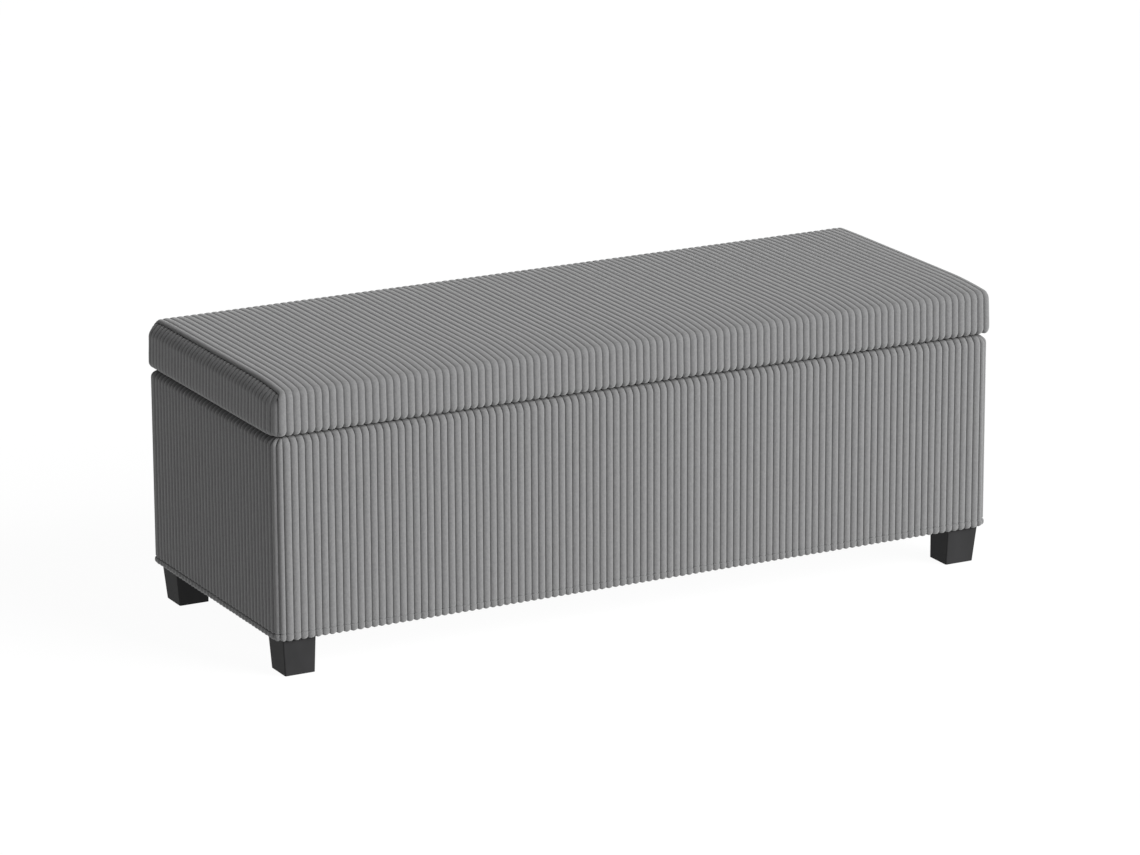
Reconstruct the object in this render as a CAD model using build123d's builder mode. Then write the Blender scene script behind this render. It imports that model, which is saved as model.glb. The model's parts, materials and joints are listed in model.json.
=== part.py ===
"""Upholstered storage bench: a padded, hinged lid on a fabric covered box with four tapered legs.

Millimetres. +Z is up, the front is -Y, the length runs along X, and the origin lies on the floor
under the middle of the bench. Left is -X and right is +X.
"""

import math
import os

from build123d import *

# ---- Overall sizes ----
BENCH_LENGTH = 1100.0  # across the base cover
BENCH_DEPTH = 411.0  # across the base cover
BENCH_HEIGHT = 402.7
LEG_HEIGHT = 53.0  # floor to the underside of the box
LID_THICKNESS = 68.4
LID_OVERHANG = 1.7
PARTING_GAP = 2.4  # between box and lid, filled by the two hinge leaves

# ---- Upholstery ----
COVER = 2.4  # corduroy, to the crests of its ribs
SOFT_GAP = 0.2
WALL_PADDING = 7.0
BASE_CORNER_ROUND = 12.0
BASE_TOP_ROUND = 10.5
BASE_BOTTOM_ROUND = 4.0
SEAM_INSET = 11.0  # the end covers turn the corners by this much
LID_TOP_ROUND = 22.0
LID_BOTTOM_ROUND = 11.0
LID_END_ROUND = 9.0
LID_EDGE_FOAM = 3.5
LID_TURN_UNDER = 60.0
LINING = 0.6
DUST_COVER = 0.6
DUST_COVER_INSET = 18.0

# ---- Boards ----
WALL = 12.0
FLOOR_BOARD = 12.0
LID_BOARD = 12.0
LID_BOARD_ARRIS = 5.0

# ---- Legs ----
LEG_TOP = 48.5
LEG_TAPER = 4.6  # how much narrower the two outer faces make the foot
LEG_INSET_X = 8.8
LEG_INSET_Y = 6.3
LEG_ARRIS = 2.0
LEG_BOLT_R = 4.0
LEG_BOLT_INSET = 5.0  # the bolt stands this far inboard of the leg's middle
LEG_BOLT_IN_LEG = 28.0
TEE_NUT_BARREL_R = 5.2
TEE_NUT_FLANGE_R = 9.5
TEE_NUT_FLANGE = 1.6
GLIDE_R = 11.0
GLIDE = 2.0
GLIDE_PROUD = 1.0

# ---- Hinges ----
HINGE_COUNT = 3
HINGE_END_INSET = 170.0
HINGE_LENGTH = 60.0
HINGE_LEAF_WIDTH = 22.0
HINGE_LEAF = 1.1
KNUCKLE_R = 2.8
KNUCKLES = 5
KNUCKLE_GAP = 0.4
HINGE_PIN_R = 1.5
HINGE_PIN_HEAD_R = 2.3
HINGE_PIN_HEAD = 1.0
RUNNING_FIT = 0.06
HINGE_SCREW_PITCH = 20.0

# ---- Lid stays ----
LID_OPEN_ANGLE = 95.0
STAY_TIP_CLEARANCE = 8.0  # the hanging arm's tip above the lined floor
STAY_PIVOT_DROP = 10.6  # the lid pivot below the hinge axis
STAY_REST_ANGLE = 30.0  # between pivot and stud, seen from the hinge axis
STAY_METAL = 2.0
STAY_WIDTH = 16.0
STUD_R = 3.0
STUD_SHOULDER_R = 5.0
STUD_SHOULDER = 2.8
STUD_HEAD_R = 5.5
STUD_HEAD = 1.6
STUD_SIDE_PLAY = 0.3
SLOT_PLAY = 0.3
STAY_SIDE_PLAY = 0.2
STAY_PLATE_WIDTH = 26.0
STAY_PLATE_HEIGHT = 44.0
STAY_PLATE_SCREW_PITCH = 28.0
STAY_BRACKET_LENGTH = 46.0
STAY_BRACKET_FLANGE = 22.0
STAY_BRACKET_SCREW_PITCH = 28.0

# ---- Fasteners ----
SCREW_R = 1.5
SCREW_HEAD_R = 2.6
SCREW_HEAD = 1.1
SCREW_LENGTH = 13.0
PANEL_SCREW_R = 2.5
PANEL_SCREW_HEAD_R = 4.5
PANEL_SCREW_HEAD = 2.0
PANEL_SCREW_LENGTH = 45.0
HOLE_CLEARANCE = 0.1
STAPLE_LENGTH = 10.0
STAPLE_WIRE = 0.5
STAPLE_WIDTH = 1.2
STAPLE_DEPTH = 9.0
STAPLE_PITCH = 70.0
STAPLE_INSET = 6.0
BUMPER_R = 4.0

# ---- Worked out ----
BOX_BOTTOM = LEG_HEIGHT
LID_BOTTOM = BENCH_HEIGHT - LID_THICKNESS
BOX_TOP = LID_BOTTOM - PARTING_GAP
LID_LENGTH = BENCH_LENGTH + 2 * LID_OVERHANG
LID_DEPTH = BENCH_DEPTH + 2 * LID_OVERHANG

PANEL_X = BENCH_LENGTH / 2 - COVER - WALL_PADDING  # outer faces of the walls
PANEL_Y = BENCH_DEPTH / 2 - COVER - WALL_PADDING
INNER_X = PANEL_X - WALL
INNER_Y = PANEL_Y - WALL
FLOOR_LOW = BOX_BOTTOM + COVER + SOFT_GAP
FLOOR_HIGH = FLOOR_LOW + FLOOR_BOARD
WALL_HIGH = BOX_TOP - COVER - SOFT_GAP
LINED_X = INNER_X - LINING
LINED_Y = INNER_Y - LINING
LINING_HIGH = BOX_TOP - SOFT_GAP

BOARD_INSET = COVER + 2 * SOFT_GAP + LID_EDGE_FOAM
BOARD_X = LID_LENGTH / 2 - BOARD_INSET
BOARD_Y = LID_DEPTH / 2 - BOARD_INSET
BOARD_LOW = LID_BOTTOM + COVER + SOFT_GAP
BOARD_HIGH = BOARD_LOW + LID_BOARD

HINGE_Y = LID_DEPTH / 2 - KNUCKLE_R
HINGE_Z = BOX_TOP + PARTING_GAP / 2
HINGE_LEAF_END_Y = HINGE_Y - HINGE_LEAF_WIDTH
KNUCKLE_CLEAR = KNUCKLE_R + 0.6
HINGE_SCREW_Y = PANEL_Y - WALL / 2

LID_LINING_LOW = LID_BOTTOM - LINING
LID_LINING_X = LID_LENGTH / 2 - 14.0
LID_LINING_FRONT = -(LID_DEPTH / 2 - 14.0)
LID_LINING_BACK = HINGE_LEAF_END_Y - 1.4



def stay_radius():
    """The stay circle's radius, in whole millimetres, whose arm hangs clear of the lined floor."""
    room = HINGE_Z - FLOOR_HIGH - LINING - STAY_TIP_CLEARANCE - STAY_PIVOT_DROP - STAY_WIDTH / 2
    beyond_slot = STUD_R + 2 * SLOT_PLAY
    half_turn = math.radians(STAY_REST_ANGLE + LID_OPEN_ANGLE) / 2
    radius = room / 2
    for _ in range(20):
        lean = math.asin(STAY_PIVOT_DROP / radius) + math.radians(STAY_REST_ANGLE) / 2
        radius = (room / math.cos(lean) - beyond_slot) / (2 * math.sin(half_turn))
    return math.floor(radius)


# The stay's lid pivot and box stud lie on one circle about the hinge axis, so the arm turns half
# as far as the lid does.
STAY_RADIUS = stay_radius()
PIVOT_ANGLE = math.degrees(math.asin(STAY_PIVOT_DROP / STAY_RADIUS))


def on_stay_circle(angle):
    """(y, z) on the stay circle, `angle` degrees below the level of the hinge axis."""
    turn = math.radians(angle)
    return (HINGE_Y - STAY_RADIUS * math.cos(turn), HINGE_Z - STAY_RADIUS * math.sin(turn))


def pivot_to_stud(lid_angle):
    """Distance from the lid pivot to the box stud with the lid open by `lid_angle` degrees."""
    return 2 * STAY_RADIUS * math.sin(math.radians(STAY_REST_ANGLE + lid_angle) / 2)


PIVOT_Y, PIVOT_Z = on_stay_circle(PIVOT_ANGLE)
STUD_Y, STUD_Z = on_stay_circle(PIVOT_ANGLE + STAY_REST_ANGLE)
SLOT_NEAR = pivot_to_stud(0.0) - 1.0
SLOT_FAR = pivot_to_stud(LID_OPEN_ANGLE) + SLOT_PLAY

# Stack of the stay hardware, from the lined end wall towards the middle of the box.
STAY_PLATE_OUT = LINED_X
STAY_PLATE_IN = STAY_PLATE_OUT - STAY_METAL
ARM_OUT = STAY_PLATE_IN - STUD_SHOULDER - STAY_SIDE_PLAY
ARM_IN = ARM_OUT - STAY_METAL
BRACKET_OUT = ARM_IN - STUD_SIDE_PLAY
BRACKET_IN = BRACKET_OUT - STAY_METAL
BRACKET_HIGH = LID_LINING_LOW
BRACKET_SCREW_X = BRACKET_OUT - STAY_BRACKET_FLANGE * 0.6

LEG_CENTRE_X = BENCH_LENGTH / 2 - LEG_INSET_X - LEG_TOP / 2
LEG_CENTRE_Y = BENCH_DEPTH / 2 - LEG_INSET_Y - LEG_TOP / 2
LEG_BOLT_X = LEG_CENTRE_X - LEG_BOLT_INSET
LEG_BOLT_Y = LEG_CENTRE_Y - LEG_BOLT_INSET
FOOT_CENTRE_X = LEG_CENTRE_X - LEG_TAPER / 2
FOOT_CENTRE_Y = LEG_CENTRE_Y - LEG_TAPER / 2

SIDES = {"left": -1, "right": 1}
ENDS = {"front": -1, "back": 1}
HINGE_NAMES = ["left", "middle", "right"]


def save(builder, name):
    """Label a finished piece and write its STEP file."""
    builder.part.label = name
    export_step(builder.part, f"parts/{name}.step")


def block(low, high):
    """A plain box between two corners, which joins no open piece by itself."""
    size = [b - a for a, b in zip(low, high)]
    middle = [(a + b) / 2 for a, b in zip(low, high)]
    return Pos(*middle) * Box(*size, mode=Mode.PRIVATE)


def rods(planes, radius, depth, taper=0.0):
    """Round bars that start on each plane and run along its normal."""
    with BuildPart() as bars:
        for plane in planes:
            with BuildSketch(plane):
                Circle(radius)
            extrude(amount=depth, taper=taper)
    return bars.part


def screw_group(planes, radius, length, head_radius, head):
    """Countersunk screws whose heads are flush with each plane."""
    with BuildPart() as screws:
        add(rods(planes, radius, length))
        add(rods(planes, head_radius, head, math.degrees(math.atan((head_radius - radius) / head))))
    return screws


def small_screws(planes):
    """The countersunk screws of hinges and stays."""
    return screw_group(planes, SCREW_R, SCREW_LENGTH, SCREW_HEAD_R, SCREW_HEAD)


def small_screw_holes(planes):
    """The room that small_screws needs in what they pass through."""
    with BuildPart() as holes:
        add(rods(planes, SCREW_R + HOLE_CLEARANCE, SCREW_LENGTH + HOLE_CLEARANCE))
        add(rods(planes, SCREW_HEAD_R + HOLE_CLEARANCE, SCREW_HEAD, 45.0))
    return holes.part


# ---- Where the fasteners go ----


def corner_screw_planes():
    """Screws through the front and back walls into the edges of the end walls."""
    x = PANEL_X - WALL / 2
    rise = (WALL_HIGH - FLOOR_HIGH) / 6
    heights = [FLOOR_HIGH + rise * step for step in (1, 3, 5)]
    return [
        Plane((side * x, end * PANEL_Y, z), x_dir=(1, 0, 0), z_dir=(0, -end, 0))
        for side in SIDES.values()
        for end in ENDS.values()
        for z in heights
    ]


def floor_screw_planes():
    """Screws up through the floor board into the four walls."""
    along = [PANEL_X * share for share in (-0.8, -0.28, 0.28, 0.8)]
    points = [(x, end * (PANEL_Y - WALL / 2)) for x in along for end in ENDS.values()]
    across = [INNER_Y * share for share in (-0.5, 0.5)]
    points += [(side * (PANEL_X - WALL / 2), y) for side in SIDES.values() for y in across]
    return [Plane((x, y, FLOOR_LOW)) for x, y in points]


def hinge_centres():
    """The hinges' middles along X, spaced evenly between the two end ones."""
    reach = BENCH_LENGTH / 2 - HINGE_END_INSET
    step = 2 * reach / (HINGE_COUNT - 1)
    return [-reach + step * number for number in range(HINGE_COUNT)]


def hinge_screw_planes(centre, lid_leaf):
    """Three screws in one leaf, seated in its inner face."""
    offsets = [HINGE_SCREW_PITCH * step for step in (-1, 0, 1)]
    if lid_leaf:
        z = LID_BOTTOM - HINGE_LEAF
        return [Plane((centre + x, HINGE_SCREW_Y, z)) for x in offsets]
    z = BOX_TOP + HINGE_LEAF
    return [
        Plane((centre + x, HINGE_SCREW_Y, z), x_dir=(1, 0, 0), z_dir=(0, 0, -1)) for x in offsets
    ]


def all_hinge_screw_planes(lid_leaf):
    """The screws of every hinge's base leaf or lid leaf."""
    return [plane for x in hinge_centres() for plane in hinge_screw_planes(x, lid_leaf)]


def stay_plate_screw_planes(side):
    """Two screws through a stay plate into its end wall."""
    heights = [STUD_Z + STAY_PLATE_SCREW_PITCH * share for share in (-0.5, 0.5)]
    return [
        Plane((side * STAY_PLATE_IN, STUD_Y, z), x_dir=(0, 1, 0), z_dir=(side, 0, 0))
        for z in heights
    ]


def stay_bracket_screw_planes(side):
    """Two screws up through a stay bracket into the lid board."""
    places = [PIVOT_Y + STAY_BRACKET_SCREW_PITCH * share for share in (-0.5, 0.5)]
    return [Plane((side * BRACKET_SCREW_X, y, BRACKET_HIGH - STAY_METAL)) for y in places]


def leg_places():
    """(name, side, end) for the four corners."""
    return [(f"{e}_{s}", SIDES[s], ENDS[e]) for e in ENDS for s in SIDES]


# ---- Box ----


def front_and_back_walls():
    """Full length walls that stand on the floor board."""
    for name, end in ENDS.items():
        with BuildPart() as wall:
            low = (-PANEL_X, min(end * PANEL_Y, end * INNER_Y), FLOOR_HIGH)
            high = (PANEL_X, max(end * PANEL_Y, end * INNER_Y), WALL_HIGH)
            add(block(low, high))
            planes = corner_screw_planes()
            add(rods(planes, PANEL_SCREW_R + HOLE_CLEARANCE, PANEL_SCREW_LENGTH), mode=Mode.SUBTRACT)
            head_room = PANEL_SCREW_HEAD_R + HOLE_CLEARANCE
            add(rods(planes, head_room, PANEL_SCREW_HEAD, 45.0), mode=Mode.SUBTRACT)
            drill_floor_screws()
            if end > 0:
                add(small_screw_holes(all_hinge_screw_planes(False)), mode=Mode.SUBTRACT)
        save(wall, f"{name}_wall")


def drill_floor_screws():
    """Cut the floor screws' holes in the open piece."""
    depth = PANEL_SCREW_LENGTH + HOLE_CLEARANCE
    add(rods(floor_screw_planes(), PANEL_SCREW_R + HOLE_CLEARANCE, depth), mode=Mode.SUBTRACT)


def end_walls():
    """Short walls between the front and back walls."""
    for name, side in SIDES.items():
        with BuildPart() as wall:
            low = (min(side * PANEL_X, side * INNER_X), -INNER_Y, FLOOR_HIGH)
            high = (max(side * PANEL_X, side * INNER_X), INNER_Y, WALL_HIGH)
            add(block(low, high))
            depth = PANEL_SCREW_LENGTH + HOLE_CLEARANCE
            radius = PANEL_SCREW_R + HOLE_CLEARANCE
            add(rods(corner_screw_planes(), radius, depth), mode=Mode.SUBTRACT)
            drill_floor_screws()
            add(small_screw_holes(stay_plate_screw_planes(side)), mode=Mode.SUBTRACT)
        save(wall, f"{name}_end_wall")


def floor_board():
    """The board under the walls, which carries the legs' threaded inserts."""
    with BuildPart() as board:
        add(block((-PANEL_X, -PANEL_Y, FLOOR_LOW), (PANEL_X, PANEL_Y, FLOOR_HIGH)))
        drill_floor_screws()
        head_room = PANEL_SCREW_HEAD_R + HOLE_CLEARANCE
        add(rods(floor_screw_planes(), head_room, PANEL_SCREW_HEAD, 45.0), mode=Mode.SUBTRACT)
        with Locations(*[(s * LEG_BOLT_X, e * LEG_BOLT_Y, FLOOR_HIGH) for _, s, e in leg_places()]):
            CounterBoreHole(
                TEE_NUT_BARREL_R + HOLE_CLEARANCE,
                TEE_NUT_FLANGE_R + HOLE_CLEARANCE,
                TEE_NUT_FLANGE,
                FLOOR_BOARD,
            )
    save(board, "floor_board")


def base_form(inset):
    """The rounded solid of the covered box, `inset` inside the cover's outer face."""
    with BuildPart() as form:
        with BuildSketch(Plane.XY.offset(BOX_BOTTOM + inset)):
            RectangleRounded(
                BENCH_LENGTH - 2 * inset, BENCH_DEPTH - 2 * inset, BASE_CORNER_ROUND - inset
            )
        extrude(amount=BOX_TOP - BOX_BOTTOM - 2 * inset)
        fillet(form.faces().sort_by(Axis.Z)[-1].edges(), BASE_TOP_ROUND - inset)
        fillet(form.faces().sort_by(Axis.Z)[0].edges(), BASE_BOTTOM_ROUND - inset)
    return form.part


def wall_padding():
    """Thin foam wrapped once round the four walls."""
    with BuildPart() as padding:
        add(base_form(COVER + SOFT_GAP))
        low = (-PANEL_X, -PANEL_Y, BOX_BOTTOM)
        add(block(low, (PANEL_X, PANEL_Y, BOX_TOP)), mode=Mode.SUBTRACT)
    save(padding, "wall_padding")


def base_cover_ring():
    """The whole base cover before it is cut at its seams, turned in over the top and bottom edges."""
    with BuildPart() as ring:
        add(base_form(0.0))
        add(base_form(COVER), mode=Mode.SUBTRACT)
        low = (-INNER_X, -INNER_Y, BOX_BOTTOM - 1)
        add(block(low, (INNER_X, INNER_Y, BOX_TOP + 1)), mode=Mode.SUBTRACT)
        add(small_screw_holes(all_hinge_screw_planes(False)), mode=Mode.SUBTRACT)
    return ring.part


def base_covers():
    """Four sewn panels; the end ones turn the corners as far as the seams."""
    seam_x = BENCH_LENGTH / 2 - SEAM_INSET
    ring = base_cover_ring()
    rooms = {}
    for name, end in ENDS.items():
        near, far = sorted((end * INNER_Y, end * BENCH_DEPTH))
        rooms[name] = block((-seam_x, near, 0), (seam_x, far, BENCH_HEIGHT))
        with BuildPart() as cover:
            add(ring)
            add(rooms[name], mode=Mode.INTERSECT)
        save(cover, f"base_cover_{name}")
    for name, side in SIDES.items():
        near, far = sorted((0, side * BENCH_LENGTH))
        with BuildPart() as cover:
            add(ring)
            half = block((near, -BENCH_DEPTH, 0), (far, BENCH_DEPTH, BENCH_HEIGHT))
            add(half, mode=Mode.INTERSECT)
            add(rooms["front"], mode=Mode.SUBTRACT)
            add(rooms["back"], mode=Mode.SUBTRACT)
        save(cover, f"base_cover_{name}")


def compartment_lining():
    """Thin fabric on the inside of the four walls and on the floor board."""
    with BuildPart() as lining:
        add(block((-INNER_X, -INNER_Y, FLOOR_HIGH), (INNER_X, INNER_Y, LINING_HIGH)))
        low = (-LINED_X, -LINED_Y, FLOOR_HIGH + LINING)
        add(block(low, (LINED_X, LINED_Y, BOX_TOP)), mode=Mode.SUBTRACT)
        for side in SIDES.values():
            add(small_screw_holes(stay_plate_screw_planes(side)), mode=Mode.SUBTRACT)
    save(lining, "compartment_lining")


def dust_cover():
    """Thin fabric across the underside, cut away round the legs."""
    x = BENCH_LENGTH / 2 - DUST_COVER_INSET
    y = BENCH_DEPTH / 2 - DUST_COVER_INSET
    notch_x = LEG_CENTRE_X - LEG_TOP / 2 - DUST_COVER
    notch_y = LEG_CENTRE_Y - LEG_TOP / 2 - DUST_COVER
    with BuildPart() as sheet:
        with BuildSketch(Plane.XY.offset(BOX_BOTTOM - DUST_COVER)):
            Rectangle(2 * x, 2 * y)
            with GridLocations(2 * x, 2 * y, 2, 2):
                Rectangle(2 * (x - notch_x), 2 * (y - notch_y), mode=Mode.SUBTRACT)
        extrude(amount=DUST_COVER)
    save(sheet, "dust_cover")


def corner_and_floor_screws():
    """The screws that hold the walls to each other and to the floor board."""
    sizes = (PANEL_SCREW_R, PANEL_SCREW_LENGTH, PANEL_SCREW_HEAD_R, PANEL_SCREW_HEAD)
    save(screw_group(corner_screw_planes(), *sizes), "corner_screws")
    save(screw_group(floor_screw_planes(), *sizes), "floor_screws")


def bumpers():
    """Small pads on the box's rim that the closed lid comes down on."""
    x = PANEL_X - WALL / 2
    y = PANEL_Y - WALL / 2
    with BuildPart() as pads:
        with BuildSketch(Plane.XY.offset(BOX_TOP)):
            with Locations((-x, -y), (x, -y), (-x, y), (x, y)):
                Circle(BUMPER_R)
        extrude(amount=LID_LINING_LOW - BOX_TOP - SOFT_GAP)
    save(pads, "lid_bumpers")


# ---- Legs ----


def leg_section(side, end, bottom):
    """The square section of one leg, at its foot or under the box."""
    size = LEG_TOP - LEG_TAPER if bottom else LEG_TOP
    z = GLIDE_PROUD if bottom else BOX_BOTTOM
    x = FOOT_CENTRE_X if bottom else LEG_CENTRE_X
    y = FOOT_CENTRE_Y if bottom else LEG_CENTRE_Y
    with BuildSketch(Plane((side * x, end * y, z))) as section:
        RectangleRounded(size, size, LEG_ARRIS)
    return section.sketch


def legs():
    """Square legs whose inner faces are upright and whose two outer faces lean in to the foot."""
    for name, side, end in leg_places():
        with BuildPart() as leg:
            loft([leg_section(side, end, True).face(), leg_section(side, end, False).face()])
            bolt = Plane((side * LEG_BOLT_X, end * LEG_BOLT_Y, BOX_BOTTOM - LEG_BOLT_IN_LEG))
            hole = rods([bolt], LEG_BOLT_R + HOLE_CLEARANCE, LEG_BOLT_IN_LEG)
            add(hole, mode=Mode.SUBTRACT)
            foot = Plane((side * FOOT_CENTRE_X, end * FOOT_CENTRE_Y, GLIDE_PROUD))
            seat = rods([foot], GLIDE_R + HOLE_CLEARANCE, GLIDE - GLIDE_PROUD)
            add(seat, mode=Mode.SUBTRACT)
        save(leg, f"leg_{name}")


def leg_fittings():
    """Threaded studs, their tee nuts in the floor board, and the glides under the feet."""
    low = BOX_BOTTOM - LEG_BOLT_IN_LEG
    length = FLOOR_HIGH - low - 1.0
    studs = [Plane((s * LEG_BOLT_X, e * LEG_BOLT_Y, low)) for _, s, e in leg_places()]
    with BuildPart() as bolts:
        add(rods(studs, LEG_BOLT_R, length))
        chamfer(bolts.faces().group_by(Axis.Z)[-1].edges(), 0.8)
    save(bolts, "leg_bolts")

    barrel = [plane.offset(FLOOR_LOW - low) for plane in studs]
    flange = [plane.offset(FLOOR_HIGH - TEE_NUT_FLANGE - low) for plane in studs]
    with BuildPart() as nuts:
        add(rods(barrel, TEE_NUT_BARREL_R, FLOOR_BOARD))
        add(rods(flange, TEE_NUT_FLANGE_R, TEE_NUT_FLANGE))
        add(rods(barrel, LEG_BOLT_R + HOLE_CLEARANCE, FLOOR_BOARD), mode=Mode.SUBTRACT)
    save(nuts, "leg_tee_nuts")

    feet = [Plane((s * FOOT_CENTRE_X, e * FOOT_CENTRE_Y, 0)) for _, s, e in leg_places()]
    with BuildPart() as glides:
        add(rods(feet, GLIDE_R, GLIDE))
        chamfer(glides.faces().group_by(Axis.Z)[0].edges(), 0.4)
    save(glides, "leg_glides")


# ---- Hinges ----


def hinge_leaf(centre, lid_leaf):
    """One leaf: a plate, and knuckles that alternate with the other leaf's."""
    plate_low = LID_BOTTOM - HINGE_LEAF if lid_leaf else BOX_TOP
    plate_high = plate_low + HINGE_LEAF
    start = centre - HINGE_LENGTH / 2
    knuckle = (HINGE_LENGTH - (KNUCKLES - 1) * KNUCKLE_GAP) / KNUCKLES
    step = knuckle + KNUCKLE_GAP
    with BuildPart() as leaf:
        low = (start, HINGE_LEAF_END_Y, plate_low)
        high = (start + HINGE_LENGTH, HINGE_Y - KNUCKLE_CLEAR, plate_high)
        add(block(low, high))
        corners = leaf.edges().filter_by(Axis.Z).group_by(Axis.Y)[0]
        fillet(corners, 3.0)
        for number in range(1 if lid_leaf else 0, KNUCKLES, 2):
            x = start + number * step
            with BuildSketch(Plane.YZ.offset(x)):
                with Locations((HINGE_Y, HINGE_Z)):
                    Circle(KNUCKLE_R)
                with Locations((HINGE_Y - KNUCKLE_CLEAR / 2, (plate_low + plate_high) / 2)):
                    Rectangle(KNUCKLE_CLEAR, HINGE_LEAF)
            extrude(amount=knuckle)
        bore = [Plane((start - 1, HINGE_Y, HINGE_Z), x_dir=(0, 1, 0), z_dir=(1, 0, 0))]
        add(rods(bore, HINGE_PIN_R + RUNNING_FIT, HINGE_LENGTH + 2), mode=Mode.SUBTRACT)
        add(small_screw_holes(hinge_screw_planes(centre, lid_leaf)), mode=Mode.SUBTRACT)
    return leaf


def hinge_pin(centre):
    """A plain pin with a low head at each end."""
    start = Plane((centre - HINGE_LENGTH / 2, HINGE_Y, HINGE_Z), x_dir=(0, 1, 0), z_dir=(1, 0, 0))
    with BuildPart() as pin:
        add(rods([start], HINGE_PIN_R, HINGE_LENGTH))
        heads = [start.offset(-HINGE_PIN_HEAD), start.offset(HINGE_LENGTH)]
        add(rods(heads, HINGE_PIN_HEAD_R, HINGE_PIN_HEAD))
    return pin


def hinges():
    """Butt hinges between the box's back rim and the underside of the lid."""
    for name, centre in zip(HINGE_NAMES, hinge_centres()):
        save(hinge_leaf(centre, False), f"{name}_hinge_base_leaf")
        save(hinge_leaf(centre, True), f"{name}_hinge_lid_leaf")
        save(hinge_pin(centre), f"{name}_hinge_pin")
    save(small_screws(all_hinge_screw_planes(False)), "hinge_base_screws")
    save(small_screws(all_hinge_screw_planes(True)), "hinge_lid_screws")


# ---- Lid stays ----


def stay_arm(side):
    """A flat slotted arm that hangs from the lid pivot and runs along the box stud."""
    reach = pivot_to_stud(0.0)
    along = Vector(0, (STUD_Y - PIVOT_Y) / reach, (STUD_Z - PIVOT_Z) / reach)
    face = ARM_IN if side > 0 else ARM_OUT
    plane = Plane((side * face, PIVOT_Y, PIVOT_Z), x_dir=along, z_dir=(1, 0, 0))
    tip = SLOT_FAR + STUD_R + SLOT_PLAY
    slot_radius = STUD_R + SLOT_PLAY
    with BuildPart() as arm:
        with BuildSketch(plane):
            with Locations((tip / 2, 0)):
                SlotCenterToCenter(tip, STAY_WIDTH)
            Circle(STUD_R + RUNNING_FIT, mode=Mode.SUBTRACT)
            with Locations(((SLOT_NEAR + SLOT_FAR) / 2, 0)):
                SlotCenterToCenter(SLOT_FAR - SLOT_NEAR, 2 * slot_radius, mode=Mode.SUBTRACT)
        extrude(amount=STAY_METAL)
    return arm


def stay_plate(side):
    """The plate on an end wall that carries the stud."""
    with BuildPart() as plate:
        face = Plane((side * STAY_PLATE_IN, STUD_Y, STUD_Z), x_dir=(0, 1, 0), z_dir=(side, 0, 0))
        with BuildSketch(face):
            RectangleRounded(STAY_PLATE_WIDTH, STAY_PLATE_HEIGHT, 4.0)
            Circle(STUD_R + HOLE_CLEARANCE, mode=Mode.SUBTRACT)
        extrude(amount=STAY_METAL)
        add(small_screw_holes(stay_plate_screw_planes(side)), mode=Mode.SUBTRACT)
    return plate


def stay_stud(side):
    """The shouldered stud that runs in the arm's slot."""
    root = Plane((side * STAY_PLATE_OUT, STUD_Y, STUD_Z), x_dir=(0, 1, 0), z_dir=(-side, 0, 0))
    shoulder = root.offset(STAY_METAL)
    head = root.offset(STAY_METAL + STUD_SHOULDER + STAY_METAL + 2 * STAY_SIDE_PLAY)
    with BuildPart() as stud:
        shank = STAY_METAL + STUD_SHOULDER + STAY_METAL + 2 * STAY_SIDE_PLAY
        add(rods([root], STUD_R, shank))
        add(rods([shoulder], STUD_SHOULDER_R, STUD_SHOULDER))
        add(rods([head], STUD_HEAD_R, STUD_HEAD))
    return stud


def stay_bracket(side):
    """The angle bracket under the lid that carries the pivot."""
    metal = sorted((side * BRACKET_IN, side * BRACKET_OUT))
    flange = sorted((side * (BRACKET_OUT - STAY_BRACKET_FLANGE), side * BRACKET_OUT))
    half = STAY_BRACKET_LENGTH / 2
    with BuildPart() as bracket:
        with BuildSketch(Plane.YZ.offset(metal[0])):
            with BuildLine():
                Polyline(
                    (PIVOT_Y - half, BRACKET_HIGH),
                    (PIVOT_Y - STAY_WIDTH / 2, PIVOT_Z - STAY_WIDTH / 4),
                    (PIVOT_Y + STAY_WIDTH / 2, PIVOT_Z - STAY_WIDTH / 4),
                    (PIVOT_Y + half, BRACKET_HIGH),
                    close=True,
                )
            make_face()
            with Locations((PIVOT_Y, PIVOT_Z)):
                Circle(STAY_WIDTH / 2)
                Circle(STUD_R + HOLE_CLEARANCE, mode=Mode.SUBTRACT)
        extrude(amount=STAY_METAL)
        low = (flange[0], PIVOT_Y - half, BRACKET_HIGH - STAY_METAL)
        add(block(low, (flange[1], PIVOT_Y + half, BRACKET_HIGH)))
        add(small_screw_holes(stay_bracket_screw_planes(side)), mode=Mode.SUBTRACT)
    return bracket


def stay_rivet(side):
    """The pivot rivet through bracket and arm."""
    start = BRACKET_IN - STUD_HEAD
    root = Plane((side * start, PIVOT_Y, PIVOT_Z), x_dir=(0, 1, 0), z_dir=(side, 0, 0))
    shank = ARM_OUT + STAY_SIDE_PLAY - start
    with BuildPart() as rivet:
        add(rods([root], STUD_R, shank))
        add(rods([root, root.offset(shank)], STUD_HEAD_R, STUD_HEAD))
    return rivet


def stays():
    """A slotted lid stay at each end of the box."""
    plate_screws = []
    bracket_screws = []
    for name, side in SIDES.items():
        save(stay_arm(side), f"{name}_stay_arm")
        save(stay_plate(side), f"{name}_stay_plate")
        save(stay_stud(side), f"{name}_stay_stud")
        save(stay_bracket(side), f"{name}_stay_bracket")
        save(stay_rivet(side), f"{name}_stay_rivet")
        plate_screws += stay_plate_screw_planes(side)
        bracket_screws += stay_bracket_screw_planes(side)
    save(small_screws(plate_screws), "stay_plate_screws")
    save(small_screws(bracket_screws), "stay_bracket_screws")


# ---- Lid ----


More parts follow.
